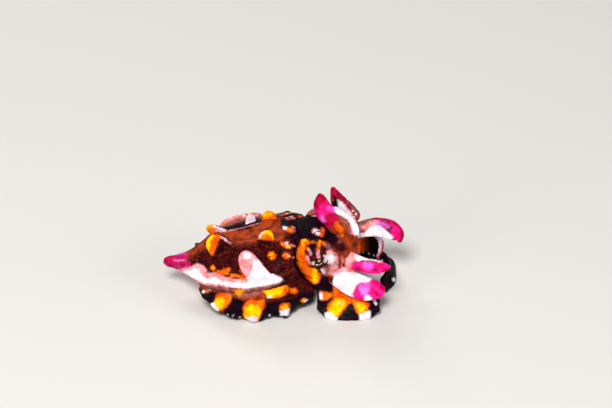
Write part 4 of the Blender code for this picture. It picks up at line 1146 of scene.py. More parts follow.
        ("white", 0, (19, -6.8, 20.4, -6.2, 21.8, -5.9, 21.8, -9, 18.8, -9)),
        ("white", 0.26, (22.6, -3.2, 23.2, -4.2)),
    ],
    "arm_4_left": [
        ("dark", 0, (7, 12, 30, 12, 30, -9, 7, -9)),
        ("white", 0.5, (27.8, 2.1)),
    ],
}

mantleLook = {
    # x from and to, in mm
    "band": (-26.0, -0.6),
    "strip": (-26.5, 0.6),
    "crests": (-14.5, -6.0),
    "troughs": (-15.5, -6.5),
    "flanks": (-23.0, 9.0),
    "bandWidth": 1.2,
    "scallop": 0.22,
    "scallopLength": 2.1,
}


def mantleMarks(rings):
    # level is the distance round from the side ledge, and off the one from the middle of the back
    field = noMarks(rings.shape[:2])
    look = mantleLook
    x, y, _ = np.moveaxis(lean(rings, -1), -1, 0)
    level, off, spacing = ringLevels(rings), np.abs(y), ridgeSpacing(x)
    # the tan band along the side ledge, its width scalloped by the size of a sine
    width = look["bandWidth"] * ramp(x, -26.5, -22.5) * ramp(-x, 0.2, 5.0)
    wave = 2 * np.abs(np.sin(np.pi * (x + 0.6) / look["scallopLength"])) - 1
    width = width + look["scallop"] * wave * ramp(width, 0.3, 1.5)
    mark(field, "tan", np.minimum(within(level, -0.9, width + 1.0), within(x, *look["band"])))
    # magenta round the tail's tip, and the pale tan under the ledge
    mark(field, "magenta", np.minimum(-25.4 - x, 9.0))
    mark(field, "tan", np.minimum(np.minimum(-level - 0.9, 7.0 + level), -4.0 - x))
    # warm strip between the ridges, and their pale crests
    back = np.where(level > 0, 0.0, -4.0)
    mark(field, "warm", 1.2 * np.minimum(spacing + 0.9 - off, within(x, *look["strip"])) + back)
    crest = 0.16 - 0.3 * (y < 0) - np.abs(off - spacing)
    mark(field, "pink", np.minimum(crest, within(x, *look["crests"])) + back)
    # painted shadow: the troughs beside the ridges are dark on the left side only, the far side, where they
    # lie in shade; then the dark edge of the collar, and maroon flanks
    trough = np.minimum(within(off, spacing + 1.2, spacing + 3.4), within(x, *look["troughs"]))
    mark(field, "dark", trough + back - 2.5 * (y < 0))
    mark(field, "dark", np.minimum(x - 2.6, level - 2.0))
    upper = np.minimum(level - 1.2, off - spacing - 0.6)
    mark(field, "deep", np.minimum(within(x, *look["flanks"]) * 0.6, upper))
    mark(field, "deep", np.minimum(np.minimum(-level + 1.0, 9.0 + level), x + 3.0))
    toCollar = np.linalg.norm(rings - rings[mantleForm["stations"] - 1], axis=-1)
    mark(field, "rim", np.minimum(0.06 - toCollar, level - 9.0))
    # the belly is pale
    mark(field, "pink", np.minimum(-level - 8.0, 2.0 - x))
    for way in (-1, 1):
        sideMarks(field, rings, sideShapes["body"], way, half=1, start=-0.4 if way < 0 else 2.5)
    sideMarks(field, rings, sideShapes["bodyFar"], -1, half=-1)
    # the tail's magenta is thin over a dark ground
    magenta, tail = markNames.index("magenta"), ramp(-x, 20.0, 23.0)
    field[..., magenta] = np.minimum(field[..., magenta], 2.0 - 2.08 * tail)
    mark(field, "deep", np.where(x < -24.5, 1.0, -2.0))
    return field


def bladeMarks(form, rings, patches, side=1):
    # distances in mm inside bands that run along and across
    rows, sides = rings.shape[:2]
    field = noMarks((rows, sides))
    where = bladePlaces(rows)[:, None]
    angle = fullTurn(sides)[None]
    middle = along(np.array(form["path"])[:, :3], np.linspace(0, 1, 60))
    length = np.linalg.norm(np.diff(middle, axis=0), axis=1).sum()
    halfWidth = bladeSizes(form, where[:, 0])[0][:, None]
    across = np.cos(angle) * side
    for kind, face, start, end, low, high, slant in patches:
        place = where + slant * across
        inside = np.minimum(within(place, start, end) * length, within(across, low, high) * halfWidth)
        inside = np.minimum(inside, 9.0 if face == 0 else face * np.sin(angle) * halfWidth + 0.15)
        mark(field, kind, inside)
    return field


# pale rims of the fins and keels: how far down a sheet they start, and the sheets' sizes in mm
rimForm = {"start": 0.99, "finDepth": 11.0, "keelDepth": 9.0, "keelLength": 15.0}


def finMarks(side, rings):
    # the inner face is dark; the outer one is marked from the side
    field = plainMarks(rings, dark=1.0)
    _, down = sheetTurn(rings.shape[1])
    sideMarks(field, rings, sideShapes["fin"], side, cover=True)
    mark(field, "rim", (down - rimForm["start"]) * rimForm["finDepth"])
    return field


def headMarks(rings, normals):
    # dark over the top, deep maroon round it and at the throat and warm in front, then the shapes seen
    # from each side; top is the height over the head's middle
    field = noMarks(rings.shape[:2])
    x, y, z = np.moveaxis(rings, -1, 0)
    top = z - headForm["lean"] * y - headForm["middle"]
    mark(field, "dark", np.minimum(within(x, -9.0, 12.8), top - 4.4))
    mark(field, "deep", np.minimum(within(x, -9.0, 13.0), top - 2.4))
    mark(field, "warm", np.minimum(x - 11.0, top + 1.0))
    mark(field, "deep", np.minimum(-3.4 - top, within(x, -9.0, 16.0)))
    for way in (-1, 1):
        sideMarks(field, rings, sideShapes["head"], way, half=1, normals=normals)
    return field


def keelMarks(form, rings, side):
    # the inner face is dark; the outer one carries the lobes
    rows, sides = rings.shape[:2]
    field = plainMarks(rings, dark=0.8)
    where = np.linspace(0, 1, rows)[:, None]
    turn, down = sheetTurn(sides)
    outer = np.where(side * np.sin(turn) < 0, 9.0, -2.0)
    length, depth = rimForm["keelLength"], rimForm["keelDepth"]
    mark(field, "rim", np.maximum((down - rimForm["start"]) * depth, (0.012 - where) * length))
    for top, tip, size, start in form["lobes"]:
        f = np.clip((down - start) / (1 - start), 0, 1)
        wide = (0.5 + 0.95 * size) * (1 - 0.4 * f**1.5)
        off = wide - np.abs(where - top - (tip - top) * f) * length
        mark(field, "orange", np.minimum(np.minimum(off, (down - start + 0.05) * depth), outer))
        mark(field, "yellow", np.minimum(np.minimum(off - 0.3, (down - start - 0.15) * depth), outer))
        toTip = np.hypot((where - tip) * length, (1 - down) * depth)
        mark(field, "white", np.minimum(0.4 + 0.5 * size - toTip, outer))
    return field


# building one skin from closed solids

skinForm = {
    "voxel": {"body": 0.226, "head": 0.206},
    # Taubin's smoothing: a step in and a slightly larger step out, so that thin edges keep their size
    "rounding": 7,
    "steps": (0.5, -0.52),
    # height of the wrinkles in mm, and the sizes of the coarse and the fine ones
    "wrinkle": 0.05,
    "wrinkleSizes": (1.3, 0.6),
}
markGroups = ("marks_a", "marks_b", "marks_c", "marks_d")  # three kinds each


class Raw:  # closed solids that a skin is to be laid round, and their markings
    def __init__(self):
        self.points, self.faces, self.marks, self.count = [], [], [], 0

    def add(self, tube, field, *views):
        # each view names the shapes that cover the field on the surfaces that look its way
        rings, start, end = tube
        for shapes, way in views:
            sideMarks(field, rings, sideShapes[shapes], way, cover=True)
        rows, sides = rings.shape[:2]
        points = np.vstack([rings.reshape(-1, 3), start, end])
        field = field.reshape(-1, field.shape[-1])
        ends = [field[:sides].mean(axis=0), field[-sides:].mean(axis=0)]
        self.faces += [[v + self.count for v in face] for face in tubeFaces(rows, sides)]
        self.points.append(points)
        self.marks.append(np.vstack([field, *ends]))
        self.count += len(points)

    def addRound(self, grid, field):
        # a grid that closes on itself both ways, such as the ring of a lid
        rows, sides = grid.shape[:2]
        r, s = np.meshgrid(np.arange(rows), np.arange(sides), indexing="ij")
        a, b = r * sides + s, r * sides + (s + 1) % sides
        c, d = (r + 1) % rows * sides + (s + 1) % sides, (r + 1) % rows * sides + s
        self.faces += (np.stack([a, b, c, d], axis=-1).reshape(-1, 4) + self.count).tolist()
        self.points.append(grid.reshape(-1, 3))
        self.marks.append(field.reshape(-1, field.shape[-1]))
        self.count += rows * sides


def carryTree(source):
    # geometry nodes that read the source's markings at the nearest point of its surface
    tree = bpy.data.node_groups.new("carry_marks", "GeometryNodeTree")
    for way in ("INPUT", "OUTPUT"):
        tree.interface.new_socket("Geometry", in_out=way, socket_type="NodeSocketGeometry")
    geometry = tree.nodes.new("NodeGroupInput").outputs[0]
    info = tree.nodes.new("GeometryNodeObjectInfo")
    info.inputs["Object"].default_value = source
    for group in markGroups:
        named = tree.nodes.new("GeometryNodeInputNamedAttribute")
        sample = tree.nodes.new("GeometryNodeSampleNearestSurface")
        store = tree.nodes.new("GeometryNodeStoreNamedAttribute")
        for part in (named, sample, store):
            part.data_type = "FLOAT_VECTOR"
        named.inputs["Name"].default_value = group
        store.inputs["Name"].default_value = group
        store.domain = "POINT"
        tree.links.new(info.outputs["Geometry"], sample.inputs[0])
        tree.links.new(geometry, store.inputs["Geometry"])
        for given, node in ((named.outputs[0], sample), (sample.outputs[0], store)):
            value = next(socket for socket in node.inputs if socket.name == "Value" and socket.enabled)
            tree.links.new(given, value)
        geometry = store.outputs["Geometry"]
    tree.links.new(geometry, tree.nodes.new("NodeGroupOutput").inputs[0])
    return tree


def setMarks(mesh, field):  # stores the levels of the kinds, three to a vector
    for number, group in enumerate(markGroups):
        layer = mesh.attributes.get(group) or mesh.attributes.new(group, "FLOAT_VECTOR", "POINT")
        part = np.ascontiguousarray(field[:, 3 * number : 3 * number + 3], np.float32)
        layer.data.foreach_set("vector", part.ravel())


def getMarks(mesh):  # reads them back, a row to a vertex
    parts = []
    for group in markGroups:
        flat = np.empty(len(mesh.vertices) * 3, np.float32)
        mesh.attributes[group].data.foreach_get("vector", flat)
        parts.append(flat.reshape(-1, 3))
    return np.hstack(parts).astype(float)


def smoothing(mesh):
    # gives the function that moves each vertex's values by a share towards its neighbours' mean
    ends = np.empty(len(mesh.edges) * 2, np.int64)
    mesh.edges.foreach_get("vertices", ends)
    ends = ends.reshape(-1, 2)
    count = len(mesh.vertices)
    links = np.maximum(np.bincount(ends.ravel(), minlength=count), 1)

    def relax(values, share):
        total = np.zeros_like(values)
        for here, there in (ends.T, ends.T[::-1]):
            for k in range(values.shape[1]):
                total[:, k] += np.bincount(here, values[there, k], count)
        return values + share * (total / links[:, None] - values)

    return relax


def makeSkin(name, raw, voxel, seed):
    # one closed surface round all the closed solids: remeshed on cubes of the voxel's size, smoothed and
    # wrinkled, with the solids' markings read at its nearest point
    field = np.vstack(raw.marks)
    source = meshObject(name + "_source", np.vstack(raw.points), raw.faces)
    setMarks(source.data, np.clip(field, -2, 2))
    skin = bpy.data.objects.new(name, source.data.copy())
    bpy.context.scene.collection.objects.link(skin)
    remesh = skin.modifiers.new("Remesh", "REMESH")
    remesh.mode = "VOXEL"
    remesh.voxel_size = voxel
    tree = carryTree(source)
    skin.modifiers.new("Carry", "NODES").node_group = tree
    graph = bpy.context.evaluated_depsgraph_get()
    made = bpy.data.meshes.new_from_object(skin.evaluated_get(graph))
    skin.modifiers.clear()
    skin.data = made
    bpy.data.node_groups.remove(tree)
    bpy.data.objects.remove(source)
    relax = smoothing(made)
    points, marks = readPoints(made), getMarks(made)
    inwards, outwards = skinForm["steps"]
    for _ in range(skinForm["rounding"]):
        points = relax(relax(points, inwards), outwards)
    for _ in range(2):
        marks = relax(marks, 0.5)
    writePoints(made, points)
    dress(skin, points, marks, seed)
    print(name, len(made.polygons) * 2)
    return skin


def vertexNormals(mesh):
    normals = np.empty(len(mesh.vertices) * 3, np.float32)
    mesh.vertex_normals.foreach_get("vector", normals)
    return normals.reshape(-1, 3).astype(float)


def dress(skin, points, marks, seed):
    # fine wrinkles along the normal, and the final mesh in metres
    normals = vertexNormals(skin.data)
    coarse, fine = skinForm["wrinkleSizes"]
    relief = skinForm["wrinkle"] * (lumps(points, coarse, seed) + 0.6 * lumps(points, fine, seed + 1))
    points = points + normals * relief[:, None]
    points[:, 2] = np.maximum(points[:, 2], 0.02)
    writePoints(skin.data, (points + centring) * mm)
    setMarks(skin.data, np.clip(marks, -2, 2))
    skin.data.shade_smooth()


# what an arm or a papilla has where no shape covers it: kind, face (1 outer, -1 inner, 0 both), start
# and end along, low and high across, slant; 9 and -9 lie past its edges
bladePatches = {
    "arm_1_right": [
        ("magenta", 1, 0.4, 9, -9, 9, 0.1),
        ("crimson", 1, 0.8, 9, -9, 9, 0.08),
        ("orange", 1, 0.2, 0.42, -0.5, 9, 0.0),
        ("warm", 1, -9, 0.25, -9, 9, 0.0),
        ("white", 0, 0.12, 0.66, -9, -0.62, 0.0),
        # painted shadow: the inner face is dark from 0.4 along, for the shade in the hollow of the curled
        # arm
        ("dark", -1, 0.4, 9, -0.9, 0.9, 0.0),
        ("pink", -1, -9, 0.4, -9, 9, 0.0),
    ],
    "arm_1_left": [
        ("white", 0, 0.1, 0.84, -0.3, 0.66, 0.0),
        ("crimson", 0, 0.8, 9, -9, 9, 0.0),
        ("crimson", 0, 0.35, 9, 0.62, 9, 0.0),
        ("crimson", 1, 0.4, 9, -9, 9, 0.0),
        # painted shadow: the inner face is dark towards the tip, for the shade in the hollow of the curled
        # arm
        ("dark", -1, 0.45, 0.93, -0.8, 0.2, 0.3),
        ("orange", -1, 0.4, 0.72, -9, -0.75, 0.0),
    ],
    "arm_2_right": [
        ("pink", 1, 0.12, 0.38, -9, 9, 0.0),
        ("magenta", 1, 0.3, 9, -9, 9, 0.1),
        ("violet", 1, 0.5, 0.66, -0.4, 0.5, 0.0),
        ("crimson", 0, 0.86, 9, -9, 9, 0.0),
        ("white", 0, 0.2, 0.84, 0.72, 9, 0.0),
        ("white", -1, -9, 9, -9, 9, 0.0),
    ],
    "arm_2_left": [
        ("warm", 0, -9, 0.3, -9, 9, 0.0),
        ("white", 0, 0.12, 0.72, -9, 0.25, -0.06),
        ("magenta", 0, 0.38, 9, -0.1, 9, -0.08),
        ("magenta", 0, 0.62, 9, -9, 9, -0.1),
        ("violet", 0, 0.45, 0.75, -0.4, 0.4, 0.0),
        ("crimson", 0, 0.35, 9, 0.8, 9, 0.0),
        ("crimson", 0, 0.95, 9, -9, 9, 0.0),
    ],
    "arm_3_right": [
        ("white", 0, 0.05, 0.56, -9, 9, 0.0),
        ("magenta", 0, 0.48, 9, -9, 9, -0.05),
        ("violet", 1, 0.6, 0.8, -0.5, 0.4, 0.0),
    ],
    "arm_3_left": [
        ("white", 0, 0.05, 0.62, -9, 9, 0.0),
        ("magenta", 1, 0.5, 9, -9, 9, 0.0),
        ("magenta", 0, 0.8, 9, -9, 9, 0.0),
    ],
    "rear": [
        ("deep", 1, -9, 0.8, 0.0, 9, 0.0),
        ("orange", 0, 0.1, 9, -9, 0.0, 0.0),
        ("orange", 0, 0.66, 9, -9, 9, 0.0),
        ("yellow", 0, 0.3, 9, -9, -0.5, 0.0),
        ("yellow", 0, 0.86, 9, -9, 9, 0.0),
        ("white", 0, 0.1, 0.93, 0.84, 9, 0.0),
    ],
    "front": [
        ("orange", 0, 0.2, 9, -9, 9, 0.0),
        ("yellow", 0, 0.62, 9, -9, 9, 0.0),
        ("white", 0, 0.4, 9, -9, -0.8, 0.0),
    ],
    "side": [
        ("tan", 0, -9, 9, -9, 9, 0.0),
        ("pink", 0, -9, 9, -0.85, 9, 0.0),
        ("pink", -1, -9, 9, -9, 9, 0.0),
        ("white", 0, 0.68, 0.9, -0.3, 0.6, 0.0),
        ("white", 0, -9, 0.62, 0.1, 9, 0.1),
        ("white", -1, 0.4, 9, -9, 9, 0.0),
    ],
    "brow": [
        ("pink", 0, -9, 9, -9, 9, 0.0),
        ("orange", 0, 0.1, 0.5, -9, 9, 0.0),
    ],
}

# what is in the body's skin


def sideOf(name):  # -1 on the right and 1 on the left
    return -1 if name.endswith("right") else 1


def addFlap(raw, name, form, fineness, shapes):
    # a flat papilla, marked from its own side and from the far one; its fineness is its number of rings,
    # its number of sides and how much deeper than an arm it is
    side = sideOf(name)
    tube = bladeTube(form, *fineness)
    field = bladeMarks(form, tube[0], bladePatches[form["kind"]], side)
    raw.add(tube, field, (shapes, side), (shapes + "Far", -side))


body = Raw()
tube = mantleTube()
body.add(tube, mantleMarks(tube[0]))
for name, form in papillaForms.items():
    addFlap(body, name, form, (60, 40, 1.15), form["kind"])
for x, y, size, length in bumpForms:
    foot = backPoint(x, y)
    tube = ballTube(foot, (size * length, size, size * 0.8))
    body.add(tube, plainMarks(tube[0], deep=size, warm=0.2 * size), ("body", -1 if y < 0 else 1))
for side in (-1, 1):
    tube = finTube(side)
    body.add(tube, finMarks(side, tube[0]))
    tube = flapTube(side)
    body.add(tube, plainMarks(tube[0], pink=0.5))
bodySkin = makeSkin("body_skin", body, skinForm["voxel"]["body"], 3)

# what is in the head's skin

head = Raw()
rings, start, end = headTube()
normals = outward(rings)
socketDepth = eyeForm["radius"] - eyeForm["socketInset"]
# the sockets: near the axis of each eye the head is pressed in under the ball
for side in (-1, 1):
    centre, out = eyeCentre(side), eyeAxes(side)[0]
    away = rings - centre
    distance = np.linalg.norm(away, axis=-1)
    facing = (away @ out) / distance
    covered = ramp(np.arccos(facing), *eyeForm["socketEdge"])
    limit = socketDepth / np.maximum(1e-3, 1 - covered)
    rings = centre + away * (np.minimum(distance, limit) / distance)[..., None]
head.add((rings, start, end), headMarks(rings, normals))
for name, form in browForms.items():
    addFlap(head, name, form, (50, 36, 1.2), "head")
for side in (-1, 1):
    grid = lidTube(side)
    field = plainMarks(grid, deep=1.0)
    normals = unit(grid - eyeCentre(side))
    sideMarks(field, grid, sideShapes["head"], side, cover=True, normals=normals)
    if side > 0:
        grid, field = grid[:, ::-1], field[:, ::-1]
    head.addRound(grid, field)
    # the flesh under the head, between the neck and the lowest arm
    tube = ballTube(jowlForm["centre"] * (1, side, 1), jowlForm["size"], 30, 48)
    head.add(tube, plainMarks(tube[0], dark=0.6), ("head", side))
for name, form in armForms.items():
    tube = bladeTube(form, 90, 56)
    head.add(tube, bladeMarks(form, tube[0], bladePatches[name]), (name, -1))
for name, form in keelForms.items():
    tube = keelTube(form)
    head.add(tube, keelMarks(form, tube[0], sideOf(name)), (name, -1))
for side in (-1, 1):
    tube = webTube(side)
    x = tube[0][..., 0]
    head.add(tube, plainMarks(tube[0], orange=20.4 - x, warm=21.2 - x, dark=x - 21.6))
tube = funnelTube()
head.add(tube, plainMarks(tube[0], pink=0.6))
tube = lipTube()
head.add(tube, plainMarks(tube[0], warm=1.0, orange=0.05))
headSkin = makeSkin("head_skin", head, skinForm["voxel"]["head"], 7)

# the eyes

eyeLook = {
    "pupilWide": 1.15,  # half width of the W-shaped pupil, in mm
    "pupilHigh": 0.36,
    "pupilThick": 0.95,
    "pupilForward": 0.35,
    "irisWide": 2.3,
    "irisHigh": 1.6,
    "iris": ("#efdfa6", "#b88a3c"),
    "irisBelow": "#f4ead2",
    "ring": "#5d2417",
    "pupil": "#060405",
}


def addEye(side, word):
    # a ball with its pole on the eye's axis; markings are laid out in mm across that axis
    out, front, up = eyeAxes(side)
    look = eyeLook
    turn = np.linspace(0, np.pi, 132)[1:-1][:, None]
    angle = fullTurn(160)[None, :] * side
    radius = eyeForm["radius"] - 0.03
    a = radius * np.sin(turn) * np.cos(angle)
    b = radius * np.sin(turn) * np.sin(angle)
    c = radius * np.cos(turn) * np.ones_like(angle)
    rings = eyeCentre(side) + a[..., None] * front + b[..., None] * up + c[..., None] * out
    poles = [eyeCentre(side) + out * radius * way for way in (1, -1)]
    points = np.vstack([rings.reshape(-1, 3), *poles])
    eye = meshObject("eye_ball_" + word, (points + centring) * mm, tubeFaces(*rings.shape[:2]))
    # the pupil is a thick cosine line of one and a half waves, wider at its ends
    off = a - look["pupilForward"]
    reach = np.clip(np.abs(off) / look["pupilWide"], 0, 1)
    line = look["pupilHigh"] * -np.cos(2 * np.pi * off / look["pupilWide"]) * (0.7 + 0.6 * reach)
    pupil = look["pupilThick"] * (0.45 + 0.55 * reach**2) - np.abs(b - line) * 0.75
    pupil = np.where(c > 0, np.minimum(pupil, look["pupilWide"] - np.abs(off)), -2)
    iris = np.where(c > 0, 1 - np.hypot(a / look["irisWide"], b / look["irisHigh"]), -2)
    field = np.stack([pupil, iris, b], axis=-1).reshape(-1, 3)
    field = np.vstack([field, (0, 1, 0), (-2, -2, 0)])
    layer = eye.data.attributes.new("eye_marks", "FLOAT_VECTOR", "POINT")
    layer.data.foreach_set("vector", np.ascontiguousarray(field, np.float32).ravel())
    eye.data.shade_smooth()
    return eye


eyes = {word: addEye(side, word) for side, word in ((-1, "right"), (1, "left"))}
print("eyes", len(eyes))

# the suckers, one joined mesh

suckerForm = {
    "pitch": 1.15,
    "rows": (-0.52, -0.17, 0.2, 0.55),  # across the inner face, as shares of the half width
    "radius": 0.34,
    "height": 0.3,
    "start": 0.3,
    "end": 0.96,
    "armLength": 22.0,  # a typical one in mm, for the stagger of the rows
    "sides": 8,
    # of the lowest arms: the distance apart, and the rows as columns of the arm's sheet
    "keelPitch": 1.5,
    "keelColumns": (3, 9, 14),
    "colours": ("#f4e3e0", "#dba9a8"),
    # share of the radius and of the height, from the foot to the middle of the cup
    "profile": ((0.7, -0.8), (0.72, 0.1), (1.0, 0.55), (1.0, 0.95), (0.66, 0.9), (0.34, 0.35)),
}


def suckerPoints(feet, across, ahead, inward, sizes):
    # every sucker's rings at once: foot + radius * circle + height * inward, over the profile
    profile = np.array(suckerForm["profile"])
    angle = fullTurn(suckerForm["sides"])
    circle = across[:, None] * np.cos(angle)[:, None] + ahead[:, None] * np.sin(angle)[:, None]
    shares = (sizes[:, None, None] * profile)[..., None, None]
    radius, height = suckerForm["radius"] * shares[:, :, 0], suckerForm["height"] * shares[:, :, 1]
    rings = feet[:, None, None] + circle[:, None] * radius + inward[:, None, None] * height
    poles = rings[:, [0, -1]].mean(axis=2)
    return np.concatenate([rings.reshape(len(feet), -1, 3), poles], axis=1)


def placesAlong(rows, pitch):  # places along a path that are one pitch apart in mm
    dense = np.linspace(0, 1, 300)
    steps = np.linalg.norm(np.diff(along(rows, dense)[:, :3], axis=0), axis=1)
    length = np.concatenate([[0], np.cumsum(steps)])
    return np.interp(np.arange(pitch, length[-1], pitch), length, dense)


def armSuckers(form):
    # staggered rows on the inner face, smaller to the tip, each foot on the ellipse and the curl
    places = placesAlong(form["path"], suckerForm["pitch"])
    places = places[(places > suckerForm["start"]) & (places < form.get("suckersEnd", suckerForm["end"]))]
    shares = np.array(suckerForm["rows"])
    shift = np.where(np.arange(len(shares)) % 2, 0.5, 0.0) * suckerForm["pitch"] / suckerForm["armLength"]
    where = np.clip(places[:, None] + shift, 0, bladeForm["end"]).ravel()
    c = np.broadcast_to(shares, (len(places), len(shares))).ravel()
    middle, across, out = bladeFrame(form, where)
    halfWidth, halfThick = bladeSizes(form, where)
    curl = form["curl"] * ramp(where, *bladeForm["curl"])
    thick = halfThick * bladeForm["innerShare"]
    lift = -thick * np.sqrt(1 - c**2) - curl * halfWidth * c**4
    # the face tilts with the slope of the curl and of the ellipse
    slope = thick * c / np.sqrt(1 - c**2) - 4 * curl * halfWidth * c**3
    tilt = unit(-out + across * (slope / halfWidth)[:, None])
    feet = middle + across * (c * halfWidth)[:, None] + out * lift[:, None]
    sizes = (0.55 + 0.45 * np.minimum(1, halfWidth / 2.2)) * (1.15 - 0.55 * where)
    sideways = unit(across - tilt * (across * tilt).sum(axis=1, keepdims=True))
    return suckerPoints(feet, sideways, np.cross(tilt, sideways), tilt, sizes)


def keelSuckers(form, side):
    # three rows near the upper edge of the inner face
    tube = keelTube(form)[0]
    rows, sides = tube.shape[:2]
    places = placesAlong(np.array(form["edges"])[:, :3], suckerForm["keelPitch"])
    at = np.clip((places[places > 0.2] * (rows - 1)).astype(int), 1, rows - 2)
    groups = []
    for column in suckerForm["keelColumns"]:
        column = column if side > 0 else sides - 1 - column
        feet = tube[at, column]
        ahead = unit(tube[at + 1, column] - tube[at - 1, column])
        down = unit(tube[at, column + 1] - tube[at, column - 1])
        inward = unit(np.cross(down, ahead))
        middle = tube[at].mean(axis=1)
        inward = inward * np.sign(((feet - middle) * inward).sum(axis=1, keepdims=True))
        sizes = 0.95 - 0.35 * at / rows
        groups.append(suckerPoints(feet, ahead, np.cross(inward, ahead), inward, sizes))
    return np.concatenate(groups)


cups = [armSuckers(form) for form in armForms.values()]
cups += [keelSuckers(form, sideOf(name)) for name, form in keelForms.items()]
cups = np.concatenate(cups)
cups[..., 2] = np.maximum(cups[..., 2], 0.03)
oneCup = tubeFaces(len(suckerForm["profile"]), suckerForm["sides"])
cupFaces = [[v + number * cups.shape[1] for v in face] for number in range(len(cups)) for face in oneCup]
suckers = meshObject("suckers", (cups.reshape(-1, 3) + centring) * mm, cupFaces)
suckers.data.shade_smooth()
print("suckers", len(cups))

# materials


def linear(code):  # from an sRGB hex value to a linear colour
    value = np.array([int(code[k : k + 2], 16) for k in (1, 3, 5)]) / 255
    value = np.where(value <= 0.04045, value / 12.92, ((value + 0.055) / 1.055) ** 2.4)
    return (*value.tolist(), 1.0)


def add(tree, kind, inputs=(), **settings):
    # adds one node; each input is a value, or the socket or the node that feeds it
    node = tree.nodes.new("ShaderNode" + kind)
    for key, value in settings.items():
        setattr(node, key, value)
    for key, value in dict(inputs).items():
        if isinstance(value, bpy.types.Node):
            value = next(socket for socket in value.outputs if socket.enabled)
        if isinstance(value, bpy.types.NodeSocket):
            tree.links.new(value, node.inputs[key])
        else:
            node.inputs[key].default_value = value
    return node


# settings that recur: a Map Range that eases from 0 to 1, a product, a product and a sum, and a Mix of
# colours, whose inputs 6 and 7 are the colours and 0 is the share of the second
eased = {"interpolation_type": "SMOOTHSTEP"}
times = {"operation": "MULTIPLY"}
timesPlus = {"operation": "MULTIPLY_ADD"}
colours = {"data_type": "RGBA"}


def newMaterial(name):  # with no nodes yet
    material = bpy.data.materials.new(name)
    material.use_nodes = True
    material.node_tree.nodes.clear()
    return material, material.node_tree


def inMillimetres(tree):  # the place on the piece
    place = add(tree, "TexCoord").outputs["Object"]
    return add(tree, "Mapping", {"Vector": place, "Scale": (1000, 1000, 1000)})


groundLook = {
    "ground": ("#4a1008", "#74260e"),
    "rust": "#a8421a",
    "points": "#1b0507",
    "dotsOnOrange": "#7a3004",
    "dotsOnPink": "#6b2c22",
    # how many to the millimetre
    "sacs": 2.6,
    "patches": 0.55,
    "raggedness": 1.7,
    "creases": 3.4,
}
skinLook = {
    # each kind of marking: its two shades, the softness of its edge and how far noise moves the edge, in mm
    "warm": ("#a84018", "#74240e", 1.0, 1.2),
    "deep": ("#42080a", "#200308", 0.8, 1.0),
    "tan": ("#a06058", "#703630", 0.6, 0.6),
    "dark": ("#1a0412", "#060105", 0.4, 0.6),
    "pink": ("#f8a8b0", "#e07c78", 0.36, 0.5),
    "orange": ("#ff7a08", "#f04a06", 0.4, 0.6),
    "magenta": ("#f61c92", "#d80c62", 0.6, 0.6),
    "crimson": ("#c80a40", "#8a0628", 0.45, 0.5),
    "violet": ("#f878e8", "#ec4cc4", 0.7, 0.4),
    "yellow": ("#ffd200", "#ffac00", 0.45, 0.4),
    "white": ("#f4eef2", "#e6cddc", 0.32, 0.4),
    "rim": ("#c8bccb", "#8a8096", 0.12, 0.1),
}


